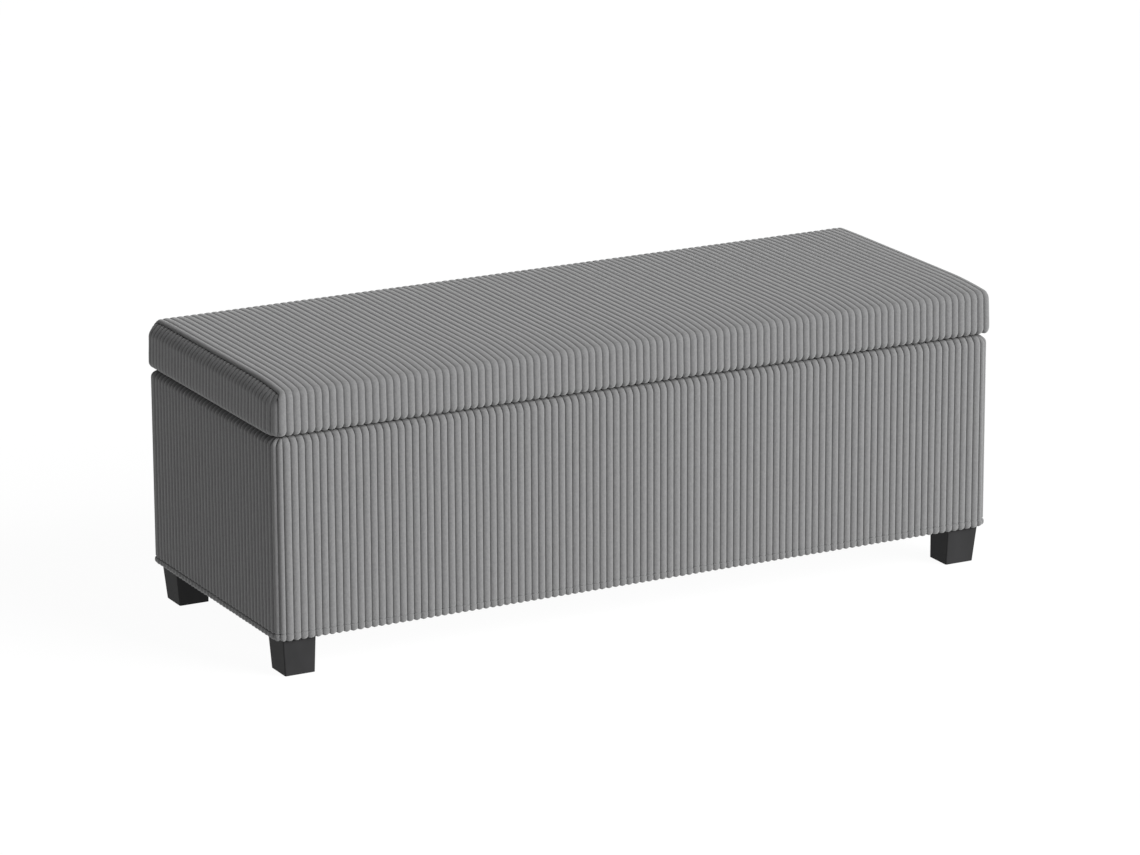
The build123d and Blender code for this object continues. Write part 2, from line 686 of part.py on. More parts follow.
def lid_form(inset):
    """The rounded solid of the covered lid, `inset` inside the cover's outer face."""
    half_x = LID_LENGTH / 2 - inset
    low = LID_BOTTOM + inset
    high = BENCH_HEIGHT - inset
    with BuildPart() as form:
        with BuildSketch(Plane.YZ.offset(-half_x)) as profile:
            with Locations((0, (low + high) / 2)):
                Rectangle(LID_DEPTH - 2 * inset, high - low)
            fillet(profile.vertices().group_by(Axis.Y)[-1], LID_TOP_ROUND - inset)
            fillet(profile.vertices().group_by(Axis.Y)[0], LID_BOTTOM_ROUND - inset)
        extrude(amount=2 * half_x)
        fillet(form.faces().filter_by(Axis.X).edges(), LID_END_ROUND - inset)
    return form.part


def lid_board():
    """The stiff board of the lid, its lower arris rounded where the cover is pulled round it."""
    with BuildPart() as board:
        add(block((-BOARD_X, -BOARD_Y, BOARD_LOW), (BOARD_X, BOARD_Y, BOARD_HIGH)))
        fillet(board.faces().sort_by(Axis.Z)[0].edges(), LID_BOARD_ARRIS)
        add(small_screw_holes(all_hinge_screw_planes(True)), mode=Mode.SUBTRACT)
        for side in SIDES.values():
            add(small_screw_holes(stay_bracket_screw_planes(side)), mode=Mode.SUBTRACT)
    save(board, "lid_board")


def lid_foam():
    """Seat foam on the board, with a thin skirt down round the board's edge."""
    with BuildPart() as foam:
        add(lid_form(COVER + SOFT_GAP))
        x = BOARD_X + SOFT_GAP
        y = BOARD_Y + SOFT_GAP
        add(block((-x, -y, LID_BOTTOM), (x, y, BOARD_HIGH + SOFT_GAP)), mode=Mode.SUBTRACT)
    save(foam, "lid_foam")


def lid_cover_shell():
    """The whole lid cover before it is cut at its seams, turned under the board."""
    with BuildPart() as shell:
        add(lid_form(0.0))
        add(lid_form(COVER), mode=Mode.SUBTRACT)
        x = LID_LENGTH / 2 - LID_TURN_UNDER
        y = LID_DEPTH / 2 - LID_TURN_UNDER
        low = (-x, -y, LID_BOTTOM - 1)
        add(block(low, (x, y, LID_BOTTOM + COVER + 1)), mode=Mode.SUBTRACT)
        add(small_screw_holes(all_hinge_screw_planes(True)), mode=Mode.SUBTRACT)
        for side in SIDES.values():
            add(small_screw_holes(stay_bracket_screw_planes(side)), mode=Mode.SUBTRACT)
    return shell.part


def lid_covers():
    """The wrap over top, front and back, and the sewn end panels."""
    seam_x = LID_LENGTH / 2 - LID_END_ROUND
    shell = lid_cover_shell()
    with BuildPart() as wrap:
        add(shell)
        room = block((-seam_x, -LID_DEPTH, 0), (seam_x, LID_DEPTH, 2 * BENCH_HEIGHT))
        add(room, mode=Mode.INTERSECT)
    save(wrap, "lid_cover")
    for name, side in SIDES.items():
        near, far = sorted((side * seam_x, side * LID_LENGTH))
        with BuildPart() as panel:
            add(shell)
            room = block((near, -LID_DEPTH, 0), (far, LID_DEPTH, 2 * BENCH_HEIGHT))
            add(room, mode=Mode.INTERSECT)
        save(panel, f"lid_cover_{name}_end")


def lid_lining():
    """Thin fabric stapled across the underside of the lid."""
    with BuildPart() as sheet:
        low = (-LID_LINING_X, LID_LINING_FRONT, LID_LINING_LOW)
        add(block(low, (LID_LINING_X, LID_LINING_BACK, LID_BOTTOM)))
        for side in SIDES.values():
            add(small_screw_holes(stay_bracket_screw_planes(side)), mode=Mode.SUBTRACT)
    save(sheet, "lid_lining")


def spread(low, high, pitch):
    """Evenly spaced places from low to high, about a pitch apart."""
    count = max(1, round((high - low) / pitch))
    return [low + (high - low) * number / count for number in range(count + 1)]


def staple(x, y, along_x):
    """One staple: a crown on the lining and two legs driven up into the board."""
    half_x = STAPLE_LENGTH / 2 if along_x else STAPLE_WIDTH / 2
    half_y = STAPLE_WIDTH / 2 if along_x else STAPLE_LENGTH / 2
    crown_low = LID_LINING_LOW - STAPLE_WIRE
    top = crown_low + STAPLE_DEPTH
    solid = block((x - half_x, y - half_y, crown_low), (x + half_x, y + half_y, top))
    gap_x = half_x - STAPLE_WIRE if along_x else 2 * half_x
    gap_y = 2 * half_y if along_x else half_y - STAPLE_WIRE
    low = (x - gap_x, y - gap_y, LID_LINING_LOW)
    return solid - block(low, (x + gap_x, y + gap_y, top + 1))


def lid_staples():
    """A row of staples round the edge of the lid's lining."""
    x = LID_LINING_X - STAPLE_INSET
    front = LID_LINING_FRONT + STAPLE_INSET
    back = LID_LINING_BACK - STAPLE_INSET
    corner = 2 * STAPLE_LENGTH
    with BuildPart() as staples:
        for place in spread(-x + corner, x - corner, STAPLE_PITCH):
            add(staple(place, front, True))
            add(staple(place, back, True))
        for place in spread(front + corner, back - corner, STAPLE_PITCH):
            add(staple(-x, place, False))
            add(staple(x, place, False))
    save(staples, "lid_staples")


def main():
    """Build every piece."""
    os.makedirs("parts", exist_ok=True)
    front_and_back_walls()
    end_walls()
    floor_board()
    wall_padding()
    base_covers()
    compartment_lining()
    dust_cover()
    corner_and_floor_screws()
    bumpers()
    legs()
    leg_fittings()
    hinges()
    stays()
    lid_board()
    lid_foam()
    lid_covers()
    lid_lining()
    lid_staples()


main()
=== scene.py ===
"""The looks of the storage bench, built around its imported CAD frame.

Ribbed corduroy covers, non-woven linings, finishes for the rest, a pale studio and its camera.
Lengths are metres in the bench's own frame: +Z up, the front is -Y, the length runs along X.
"""

import json
import logging
import math
from dataclasses import dataclass, field
from enum import Enum

import bmesh
import bpy
import numpy as np
from mathutils import Matrix, Vector
from mathutils.kdtree import KDTree


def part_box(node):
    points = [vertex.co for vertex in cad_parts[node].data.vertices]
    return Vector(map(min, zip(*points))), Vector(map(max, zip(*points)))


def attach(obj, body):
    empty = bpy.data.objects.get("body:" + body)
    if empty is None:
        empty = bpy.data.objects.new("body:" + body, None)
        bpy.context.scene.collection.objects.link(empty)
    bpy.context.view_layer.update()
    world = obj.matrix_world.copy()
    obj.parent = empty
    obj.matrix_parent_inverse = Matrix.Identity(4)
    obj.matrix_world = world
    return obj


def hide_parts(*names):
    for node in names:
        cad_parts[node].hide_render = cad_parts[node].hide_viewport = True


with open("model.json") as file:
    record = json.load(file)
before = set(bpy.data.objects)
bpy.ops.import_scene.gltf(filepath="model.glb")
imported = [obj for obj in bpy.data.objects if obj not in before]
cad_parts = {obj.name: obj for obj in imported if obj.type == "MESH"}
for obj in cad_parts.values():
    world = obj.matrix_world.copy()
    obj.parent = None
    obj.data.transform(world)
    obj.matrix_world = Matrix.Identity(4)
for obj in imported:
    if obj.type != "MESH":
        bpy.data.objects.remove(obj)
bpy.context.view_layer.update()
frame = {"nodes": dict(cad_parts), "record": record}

MM = 0.001
VALLEY = 0.35  # the painted-shade attribute between two ribs, which paints the valleys darker: 0 in a sewn crevice, 1 on a rib's crest
LYING = 0.85  # cloth counts as lying flat when the vertical share of its normal passes this
GAP_SHADE_LEVEL = 0.86  # and gets painted shade for the gap between lid and box when it passes this
DRAWS = 400  # random draws for ribs, more than any panel has
log = logging.getLogger("storage_bench")


class Side(Enum):
    """The two ends of the bench."""

    LEFT = -1
    RIGHT = 1


# ---- Modelling hands: thin wraps round Blender's own operators ----


def put_down_everything() -> None:
    """Leave edit mode and deselect every object."""
    if bpy.context.object and bpy.context.object.mode != "OBJECT":
        bpy.ops.object.mode_set(mode="OBJECT")
    bpy.ops.object.select_all(action="DESELECT")


def pick_up(piece: bpy.types.Object) -> None:
    """Make one object the only selected and active one.

    Args:
        piece: the object.
    """
    put_down_everything()
    piece.select_set(True)
    bpy.context.view_layer.objects.active = piece


def apply_modifier(piece: bpy.types.Object, kind: str, **settings: object) -> None:
    """Add a modifier with its settings and apply it at once.

    Args:
        piece: the mesh object that gets it.
        kind: Blender's name for the modifier type.
        **settings: values for the modifier's own fields.
    """
    pick_up(piece)
    bpy.ops.object.modifier_add(type=kind)
    modifier = piece.modifiers[-1]
    for name, value in settings.items():
        setattr(modifier, name, value)
    bpy.ops.object.modifier_apply(modifier=modifier.name)


def select_vertices(piece: bpy.types.Object, wanted: np.ndarray) -> None:
    """Select vertices in edit mode by a mask over them.

    Args:
        piece: the mesh object that is in edit mode.
        wanted: one true or false value for each vertex.
    """
    mesh = bmesh.from_edit_mesh(piece.data)
    bpy.ops.mesh.select_all(action="DESELECT")
    mesh.verts.ensure_lookup_table()
    for number in np.flatnonzero(wanted):
        mesh.verts[number].select = True
    mesh.select_flush_mode()
    bmesh.update_edit_mesh(piece.data)


def edit_points(piece: bpy.types.Object) -> np.ndarray:
    """The places of a mesh's vertices while it is in edit mode."""
    mesh = bmesh.from_edit_mesh(piece.data)
    return np.array([vertex.co[:] for vertex in mesh.verts])


def points_of(piece: bpy.types.Object) -> np.ndarray:
    """The places of a mesh's vertices.

    Args:
        piece: the mesh object, out of edit mode.

    Returns:
        A row of x, y, z for each vertex.
    """
    points = np.empty(len(piece.data.vertices) * 3)
    piece.data.vertices.foreach_get("co", points)
    return points.reshape(-1, 3)


def move_points(piece: bpy.types.Object, points: np.ndarray) -> None:
    """Put a mesh's vertices in new places."""
    piece.data.vertices.foreach_set("co", points.ravel())
    piece.data.update()


def face_centres(piece: bpy.types.Object) -> np.ndarray:
    """The middles of a mesh's faces.

    Args:
        piece: the mesh object, out of edit mode.

    Returns:
        A row of x, y, z for each face.
    """
    centres = np.empty(len(piece.data.polygons) * 3)
    piece.data.polygons.foreach_get("center", centres)
    return centres.reshape(-1, 3)


def select_faces(piece: bpy.types.Object, wanted: np.ndarray) -> None:
    """Open edit mode in face mode with only the wanted faces selected.

    Args:
        piece: the mesh object.
        wanted: one true or false value for each face.
    """
    pick_up(piece)
    bpy.ops.object.mode_set(mode="EDIT")
    bpy.ops.mesh.select_mode(type="FACE")
    bpy.ops.mesh.select_all(action="DESELECT")
    mesh = bmesh.from_edit_mesh(piece.data)
    mesh.faces.ensure_lookup_table()
    for number in np.flatnonzero(wanted):
        mesh.faces[number].select = True
    bmesh.update_edit_mesh(piece.data)


def every_face(piece: bpy.types.Object) -> np.ndarray:
    """A mask that selects all of a mesh's faces."""
    return np.ones(len(piece.data.polygons), bool)


def subdivide(piece: bpy.types.Object, cuts: int) -> None:
    """Split every edge of a mesh.

    Args:
        piece: the mesh object.
        cuts: how many cuts each edge gets.
    """
    select_faces(piece, every_face(piece))
    bpy.ops.mesh.subdivide(number_cuts=cuts)
    bpy.ops.object.mode_set(mode="OBJECT")


def cut_mitre(panel: bpy.types.Object, faces: np.ndarray, seam: Vector, inner: Vector) -> None:
    """Cut faces along the line between two points and drop what lies towards the bench's end.

    Args:
        panel: the cloth that is cut.
        faces: one true or false value for each face; only true ones are cut.
        seam: the point at the seam.
        inner: the point at the panel's inner corner.
    """
    along = (inner - seam).normalized()
    outward = Vector((-along.y, along.x, 0.0))
    if outward.x * seam.x < 0:
        outward = -outward
    select_faces(panel, faces)
    bpy.ops.mesh.bisect(plane_co=seam, plane_no=outward, clear_outer=True)
    bpy.ops.object.mode_set(mode="OBJECT")


def turned_copy(piece: bpy.types.Object, name: str) -> bpy.types.Object:
    """A copy turned half round about the upright axis, as the opposite panel of the bench.

    Args:
        piece: the panel that is copied.
        name: the copy's name.

    Returns:
        The copy, with a mesh of its own.
    """
    twin = piece.copy()
    twin.data = piece.data.copy()
    twin.name = twin.data.name = name
    bpy.context.scene.collection.objects.link(twin)
    twin.data.transform(Matrix.Rotation(math.pi, 4, "Z"))
    return twin


def smooth(piece: bpy.types.Object, angle: float) -> None:
    """Shade a piece smooth but keep creases sharper than an angle in degrees."""
    pick_up(piece)
    bpy.ops.object.shade_smooth_by_angle(angle=math.radians(angle))


def ease(share: np.ndarray) -> np.ndarray:
    """A soft step from 0 to 1."""
    share = np.clip(share, 0.0, 1.0)
    return share * share * (3.0 - 2.0 * share)


def lying(level: np.ndarray) -> np.ndarray:
    """How far cloth lies flat, from the vertical share of its normal."""
    return ease((level - LYING) / (1 - LYING))


def gap_shade_share(level: np.ndarray) -> np.ndarray:
    """How much painted shade cloth gets in the gap between lid and box, from the vertical share of its
    normal.
    """
    return ease((level - GAP_SHADE_LEVEL) / 0.1)


# ---- Finishes ----


@dataclass
class Board:
    """A material's node tree with short calls for the nodes that the finishes use."""

    name: str
    material: bpy.types.Material = field(init=False)
    shader: bpy.types.Node = field(init=False)

    def __post_init__(self) -> None:
        """Start a material that holds only its shader, output and Object coordinates."""
        self.material = bpy.data.materials.new(self.name)
        self.material.use_nodes = True
        self.nodes = self.material.node_tree.nodes
        self.links = self.material.node_tree.links
        self.shader = self.nodes["Principled BSDF"]
        self.coordinates = self.nodes.new("ShaderNodeTexCoord").outputs["Object"]

    def set(self, **values: object) -> None:
        """Set plain values on the shader's own sockets, with underscores for spaces."""
        for name, value in values.items():
            self.shader.inputs[name.replace("_", " ")].default_value = value

    def add(self, kind: str, **settings: object) -> bpy.types.Node:
        """Add a node.

        Args:
            kind: the node's type, without its ShaderNode prefix.
            **settings: the node's own fields, or its sockets by name, with underscores for spaces.

        Returns:
            The node.
        """
        node = self.nodes.new(f"ShaderNode{kind}")
        for name, value in settings.items():
            socket = node.inputs.get(name.replace("_", " "))
            if hasattr(node, name):
                setattr(node, name, value)
            elif isinstance(value, bpy.types.NodeSocket):
                self.links.new(value, socket)
            else:
                socket.default_value = value
        return node

    def noise(
        self, size: float, stretch: tuple[float, float, float] = (1, 1, 1), **more: float
    ) -> bpy.types.NodeSocket:
        """Noise with features about a size in metres.

        Args:
            size: the width of the pattern's features.
            stretch: scale of the pattern along each axis.
            **more: other sockets of the noise node.

        Returns:
            The noise's factor socket.
        """
        place = self.add("Mapping")
        place.inputs["Scale"].default_value = stretch
        self.links.new(self.coordinates, place.inputs["Vector"])
        node = self.add("TexNoise", Vector=place.outputs[0], Scale=1.0 / size, **more)
        return node.outputs["Factor"] if "Factor" in node.outputs else node.outputs[0]

    def ramp(
        self,
        factor: bpy.types.NodeSocket,
        low: tuple[float, ...],
        high: tuple[float, ...],
        ends: tuple[float, float] = (0.3, 0.7),
    ) -> bpy.types.NodeSocket:
        """Blend two colours by a factor.

        Args:
            factor: the pattern that drives the blend.
            low: colour below the first stop.
            high: colour above the last stop.
            ends: where the first and last stops stand.

        Returns:
            The colour's socket.
        """
        node = self.add("ValToRGB")
        node.color_ramp.elements[0].position = ends[0]
        node.color_ramp.elements[1].position = ends[1]
        node.color_ramp.elements[0].color = (*low, 1.0)
        node.color_ramp.elements[1].color = (*high, 1.0)
        self.links.new(factor, node.inputs[0])
        return node.outputs["Color"]

    def tint(
        self, base: bpy.types.NodeSocket, shade: bpy.types.NodeSocket
    ) -> bpy.types.NodeSocket:
        """Multiply two colours.

        Args:
            base: the first colour.
            shade: the colour that darkens or lightens it.

        Returns:
            The product's socket.
        """
        node = self.add("Mix", data_type="RGBA", blend_type="MULTIPLY")
        node.inputs[0].default_value = 1.0
        self.links.new(base, node.inputs[6])
        self.links.new(shade, node.inputs[7])
        return node.outputs[2]

    def colour(self, socket: bpy.types.NodeSocket) -> None:
        """Drive the base colour."""
        self.links.new(socket, self.shader.inputs["Base Color"])

    def roughness(self, factor: bpy.types.NodeSocket, low: float, high: float) -> None:
        """Drive the roughness between two values.

        Args:
            factor: the pattern that drives it.
            low: the roughness where the pattern is 0.
            high: the roughness where it is 1.
        """
        node = self.add("MapRange", Value=factor)
        node.inputs["To Min"].default_value = low
        node.inputs["To Max"].default_value = high
        self.links.new(node.outputs[0], self.shader.inputs["Roughness"])

    def bump(
        self, height: bpy.types.NodeSocket, depth: float, after: bpy.types.NodeSocket | None = None
    ) -> bpy.types.NodeSocket:
        """Raise a height pattern.

        Args:
            height: the pattern.
            depth: how far it rises, in metres.
            after: an earlier bump's normal, on which this one lies.

        Returns:
            The bumped normal's socket.
        """
        node = self.add("Bump", Height=height, Strength=1.0, Distance=depth)
        if after is not None:
            self.links.new(after, node.inputs["Normal"])
        self.links.new(node.outputs[0], self.shader.inputs["Normal"])
        return node.outputs[0]


@dataclass(frozen=True)
class Corduroy:
    """Soft grey wide-rib cloth: painted shade between its ribs and in its seams, a brushed nap and
    fine fibres.
    """

    name: str = "corduroy"
    crest: tuple[float, float, float] = (0.121, 0.121, 0.122)
    # Painted shade: the colour down in the valleys between ribs.
    root: tuple[float, float, float] = (0.110, 0.110, 0.111)
    # The darkest painted shade, for seams, stitch creases and the gap under the lid.
    crevice_shade: tuple[float, float, float] = (0.012, 0.012, 0.012)
    nap: float = 0.085  # how much paler and darker the nap brushes
    grain: float = 0.04  # and the fibres beyond that
    fibre_size: float = 1.2 * MM
    mottle_size: float = 2.8 * MM
    fibre_depth: float = 0.14 * MM

    def make(self) -> bpy.types.Material:
        """Build the cloth's material.

        Returns:
            The material.
        """
        board = Board(self.name)
        board.set(Sheen_Weight=0.28, Sheen_Roughness=0.55, Specular_IOR_Level=0.12)
        # Painted shade: darker from the crests into the valleys, darkest in seams, stitch creases and
        # the gap under the lid.
        painted_shade = board.add("Attribute", attribute_name="painted_shade").outputs["Fac"]
        base = board.ramp(painted_shade, self.crevice_shade, self.crest, (0.0, 0.75))
        valley = base.node.color_ramp.elements.new(VALLEY)
        valley.color = (*self.root, 1.0)
        mottle = board.noise(self.mottle_size, (1, 1, 0.8), Detail=3.0, Roughness=0.6)
        fibre = board.noise(self.fibre_size, (1, 1, 0.8), Detail=4.0, Roughness=0.75)
        dark, pale = 1.0 - self.nap, 1.0 + self.nap
        shade = board.ramp(mottle, (dark,) * 3, (pale,) * 3, (0.35, 0.65))
        grain = board.ramp(fibre, (dark - self.grain,) * 3, (pale + self.grain,) * 3)
        tinted = board.tint(base, shade)
        board.colour(board.tint(tinted, grain))
        board.roughness(fibre, 0.82, 1.0)
        first = board.bump(mottle, self.fibre_depth)
        board.bump(fibre, self.fibre_depth, first)
        return board.material


@dataclass(frozen=True)
class Nonwoven:
    """Thin black spun cloth with a grid of embossed points."""

    name: str = "lining_fabric"
    colour: tuple[float, float, float] = (0.018, 0.018, 0.019)
    point_pitch: float = 1.6 * MM
    point_depth: float = 0.12 * MM
    fibre_size: float = 0.7 * MM
    fibre_depth: float = 0.05 * MM
    cloud_size: float = 30 * MM

    def make(self) -> bpy.types.Material:
        """Build the cloth's material.

        Returns:
            The material.
        """
        board = Board(self.name)
        board.set(Sheen_Weight=0.15, Specular_IOR_Level=0.3)
        points = board.add(
            "TexVoronoi", Vector=board.coordinates, Scale=1.0 / self.point_pitch, Randomness=0.12
        ).outputs["Distance"]
        fibre = board.noise(self.fibre_size, Detail=3.0)
        cloud = board.noise(self.cloud_size, Detail=2.0)
        base = board.ramp(cloud, self.colour, tuple(1.5 * c for c in self.colour))
        pressed_points_and_gap_shade = board.ramp(points, (0.75,) * 3, (1.15,) * 3, (0.1, 0.5))
        board.colour(board.tint(base, pressed_points_and_gap_shade))
        board.roughness(fibre, 0.7, 0.95)
        first = board.bump(points, self.point_depth)
        board.bump(fibre, self.fibre_depth, first)
        return board.material


@dataclass(frozen=True)
class Moulded:
    """Plastic or rubber with a fine moulded grain."""

    name: str
    colour: tuple[float, float, float]
    rough: tuple[float, float] = (0.42, 0.58)
    grain_size: float = 0.6 * MM
    grain_depth: float = 0.02 * MM
    cloud_size: float = 20 * MM
    specular: float = 0.4

    def make(self) -> bpy.types.Material:
        """Build the moulding's material.

        Returns:
            The material.
        """
        board = Board(self.name)
        board.set(Specular_IOR_Level=self.specular)
        grain = board.noise(self.grain_size, Detail=2.0)
        cloud = board.noise(self.cloud_size, (1, 1, 0.5), Detail=3.0)
        board.colour(board.ramp(cloud, self.colour, tuple(1.18 * c for c in self.colour)))
        board.roughness(cloud, *self.rough)
        board.bump(grain, self.grain_depth)
        return board.material


@dataclass(frozen=True)
class Steel:
    """Rolled sheet or plated wire with faint drawing lines and a cloudy plating."""

    name: str
    colour: tuple[float, float, float]
    rough: tuple[float, float] = (0.34, 0.5)
    line_size: float = 0.6 * MM
    line_depth: float = 0.01 * MM
    cloud_size: float = 6 * MM

    def make(self) -> bpy.types.Material:
        """Build the metal's material.

        Returns:
            The material.
        """
        board = Board(self.name)
        board.set(Metallic=1.0)
        lines = board.noise(self.line_size, (1, 0.05, 1), Detail=2.0)
        cloud = board.noise(self.cloud_size, Detail=4.0)
        low = tuple(0.82 * c for c in self.colour)
        board.colour(board.ramp(cloud, low, self.colour))
        board.roughness(cloud, *self.rough)
        board.bump(lines, self.line_depth)
        return board.material


@dataclass(frozen=True)
class Fibreboard:
    """Pressed wood fibre with flecks and a fuzzy sawn edge."""

    name: str = "fibreboard"
    colour: tuple[float, float, float] = (0.36, 0.23, 0.125)
    fleck_size: float = 1.4 * MM
    fleck_depth: float = 0.08 * MM
    cloud_size: float = 50 * MM

    def make(self) -> bpy.types.Material:
        """Build the board's material.

        Returns:
            The material.
        """
        board = Board(self.name)
        fleck = board.noise(self.fleck_size, Detail=5.0, Roughness=0.7)
        cloud = board.noise(self.cloud_size, Detail=2.0)
        base = board.ramp(fleck, tuple(0.7 * c for c in self.colour), self.colour)
        tone = board.ramp(cloud, (0.9,) * 3, (1.08,) * 3)
        board.colour(board.tint(base, tone))
        board.roughness(fleck, 0.7, 0.95)
        board.bump(fleck, self.fleck_depth)
        return board.material


def dress(piece: bpy.types.Object, material: bpy.types.Material) -> None:
    """Give every material slot of a piece one material.

    Args:
        piece: the mesh object.
        material: its finish.
    """
    if not piece.material_slots:
        piece.data.materials.append(material)
    for slot in piece.material_slots:
        slot.material = material


# ---- Ribbed cloth ----


@dataclass
class Track:
    """A line of runs and turns in a plane, which keeps its outward normal on its left.

    Every turn is clockwise, so the line goes round something that lies on its right.
    """

    start: tuple[float, float]
    heading: float
    places: list[tuple[float, float]] = field(default_factory=list)
    headings: list[float] = field(default_factory=list)
    marks: list[float] = field(default_factory=list)

    def __post_init__(self) -> None:
        """Stand at the start, with the heading in degrees."""
        self._keep(self.start, math.radians(self.heading), 0.0)

    def _keep(self, place: tuple[float, float], heading: float, mark: float) -> None:
        """Note one station.

        Args:
            place: where it is.
            heading: the way on from it, in radians.
            mark: its distance along the line.
        """
        self.places.append(place)
        self.headings.append(heading)
        self.marks.append(mark)

    def run(self, length: float, steps: int = 1) -> "Track":
        """Go straight on.

        Args:
            length: how far.
            steps: in how many equal steps.

        Returns:
            The line itself.
        """
        for _ in range(steps):
            (x, y), heading = self.places[-1], self.headings[-1]
            step = length / steps
            place = (x + step * math.cos(heading), y + step * math.sin(heading))
            self._keep(place, heading, self.marks[-1] + step)
        return self

    def turn(self, radius: float, angle: float, steps: int) -> "Track":
        """Turn clockwise along an arc.

        Args:
            radius: the arc's radius.
            angle: how far it turns, in degrees.
            steps: in how many equal steps.

        Returns:
            The line itself.
        """
        bend = math.radians(angle) / steps
        (x, y), heading = self.places[-1], self.headings[-1]
        centre = (x + radius * math.sin(heading), y - radius * math.cos(heading))
        for number in range(1, steps + 1):
            now = heading - bend * number
            place = (centre[0] - radius * math.sin(now), centre[1] + radius * math.cos(now))
            self._keep(place, now, self.marks[-1] + radius * bend)
        return self

    @property
    def length(self) -> float:
        """The whole length of the line."""
        return self.marks[-1]

    def stations(self) -> tuple[np.ndarray, np.ndarray]:
        """The stations.

        Returns:
            Two arrays with a row for each station: places and outward unit normals.
        """
        headings = np.array(self.headings)
        normals = np.column_stack((-np.sin(headings), np.cos(headings)))
        return np.array(self.places), normals

    def along(self, marks: np.ndarray) -> tuple[np.ndarray, np.ndarray]:
        """Any points of the line.

        Args:
            marks: distances from the start.

        Returns:
            Two arrays with a row for each distance: places and outward unit normals.
        """
        known, places = np.array(self.marks), np.array(self.places)
        at = np.column_stack([np.interp(marks, known, places[:, axis]) for axis in (0, 1)])
        heading = np.interp(marks, known, np.array(self.headings))
        return at, np.column_stack((-np.sin(heading), np.cos(heading)))


@dataclass(frozen=True)
class Rib:
    """One half-round rib of the cloth."""

    pitch: float = 10.43 * MM  # from valley to valley
    half_arc: float = 60.0  # half the angle of the rib's arc, in degrees
    facets: int = 8  # flat pieces across one rib
    cloth: float = 0.9 * MM  # thickness of the cloth

    @property
    def height(self) -> float:
        """From the valley to the crest."""
        half = math.radians(self.half_arc)
        return self.pitch / 2 / math.sin(half) * (1 - math.cos(half))


@dataclass
class FlatCloth:
    """Ribbed cloth that lies flat, modelled as one rib and repeated across.

    x runs across the ribs, z is the height over the valleys, and y counts the stations along them.
    """

    name: str
    rib: Rib
    count: int
    width: float
    stations: int
    station_step: float = 10 * MM

    def lay(self) -> bpy.types.Object:
        """Model one rib, push it along its stations and repeat it across the width.

        Returns:
            The flat cloth.
        """
        pitch = self.width / self.count
        half = math.radians(self.rib.half_arc)
        radius = pitch / 2 / math.sin(half)
        drop = radius * math.cos(half)
        put_down_everything()
        bpy.ops.mesh.primitive_circle_add(
            vertices=round(self.rib.facets * 180.0 / self.rib.half_arc),
            radius=radius,
            fill_type="NOTHING",
            location=(pitch / 2, 0.0, -drop),
            rotation=(math.pi / 2, 0.0, 0.0),
        )
        strip = bpy.context.object
        strip.name = strip.data.name = self.name
        bpy.ops.object.transform_apply(location=True, rotation=True, scale=True)
        bpy.ops.object.mode_set(mode="EDIT")
        bpy.ops.mesh.select_mode(type="VERT")
        select_vertices(strip, edit_points(strip)[:, 2] < -0.01 * MM)
        bpy.ops.mesh.delete(type="VERT")
        bpy.ops.mesh.select_all(action="SELECT")
        for _ in range(self.stations - 1):
            bpy.ops.mesh.extrude_region_move(
                TRANSFORM_OT_translate={"value": (0.0, self.station_step, 0.0)}
            )
        bpy.ops.object.mode_set(mode="OBJECT")
        apply_modifier(
            strip,
            "ARRAY",
            count=self.count,
            use_relative_offset=False,
            use_constant_offset=True,
            constant_offset_displace=(pitch, 0.0, 0.0),
            use_merge_vertices=True,
            merge_threshold=0.02 * MM,
        )
        if sum(face.normal.z for face in strip.data.polygons) < 0:
            strip.data.flip_normals()
        return strip

    def read(self, strip: bpy.types.Object) -> tuple[np.ndarray, np.ndarray, np.ndarray]:
        """Where each vertex lies.

        Args:
            strip: the flat cloth.

        Returns:
            How far across the cloth, at which station, and how high over the valleys.
        """
        points = points_of(strip)
        station = np.rint(points[:, 1] / self.station_step).astype(int)
        return points[:, 0], station, np.clip(points[:, 2], 0.0, None)

    def sewn(self, across: np.ndarray) -> np.ndarray:
        """True at the cloth's two sewn edges."""
        return np.minimum(across, self.width - across) < 0.02 * self.rib.pitch

    def paint_shade(self, strip: bpy.types.Object, height: np.ndarray, crevice_shade: np.ndarray) -> None:
        """Keep how far up its rib each vertex is, as painted shade for the cloth's colour: darker
        towards the valleys, darkest where crevice shade is painted.

        Args:
            strip: the cloth.
            height: height of each vertex over the valleys.
            crevice_shade: how much of the darkest painted shade each vertex gets, 1 where the cloth is
                drawn into a seam, 0 where none is painted.
        """
        value = VALLEY + (1 - VALLEY) * np.clip(height / self.rib.height, 0, 1)
        painted_shade = strip.data.attributes.new("painted_shade", "FLOAT", "POINT")
        painted_shade.data.foreach_set("value", (value * (1 - crevice_shade)).astype(np.float32))

    def finish(self, strip: bpy.types.Object) -> bpy.types.Object:
        """Give the shaped cloth its thickness and its shading.

        Args:
            strip: the shaped cloth.

        Returns:
            The same cloth.
        """
        apply_modifier(strip, "SOLIDIFY", thickness=self.rib.cloth, offset=-1.0)
        smooth(strip, 38.0)
        return strip


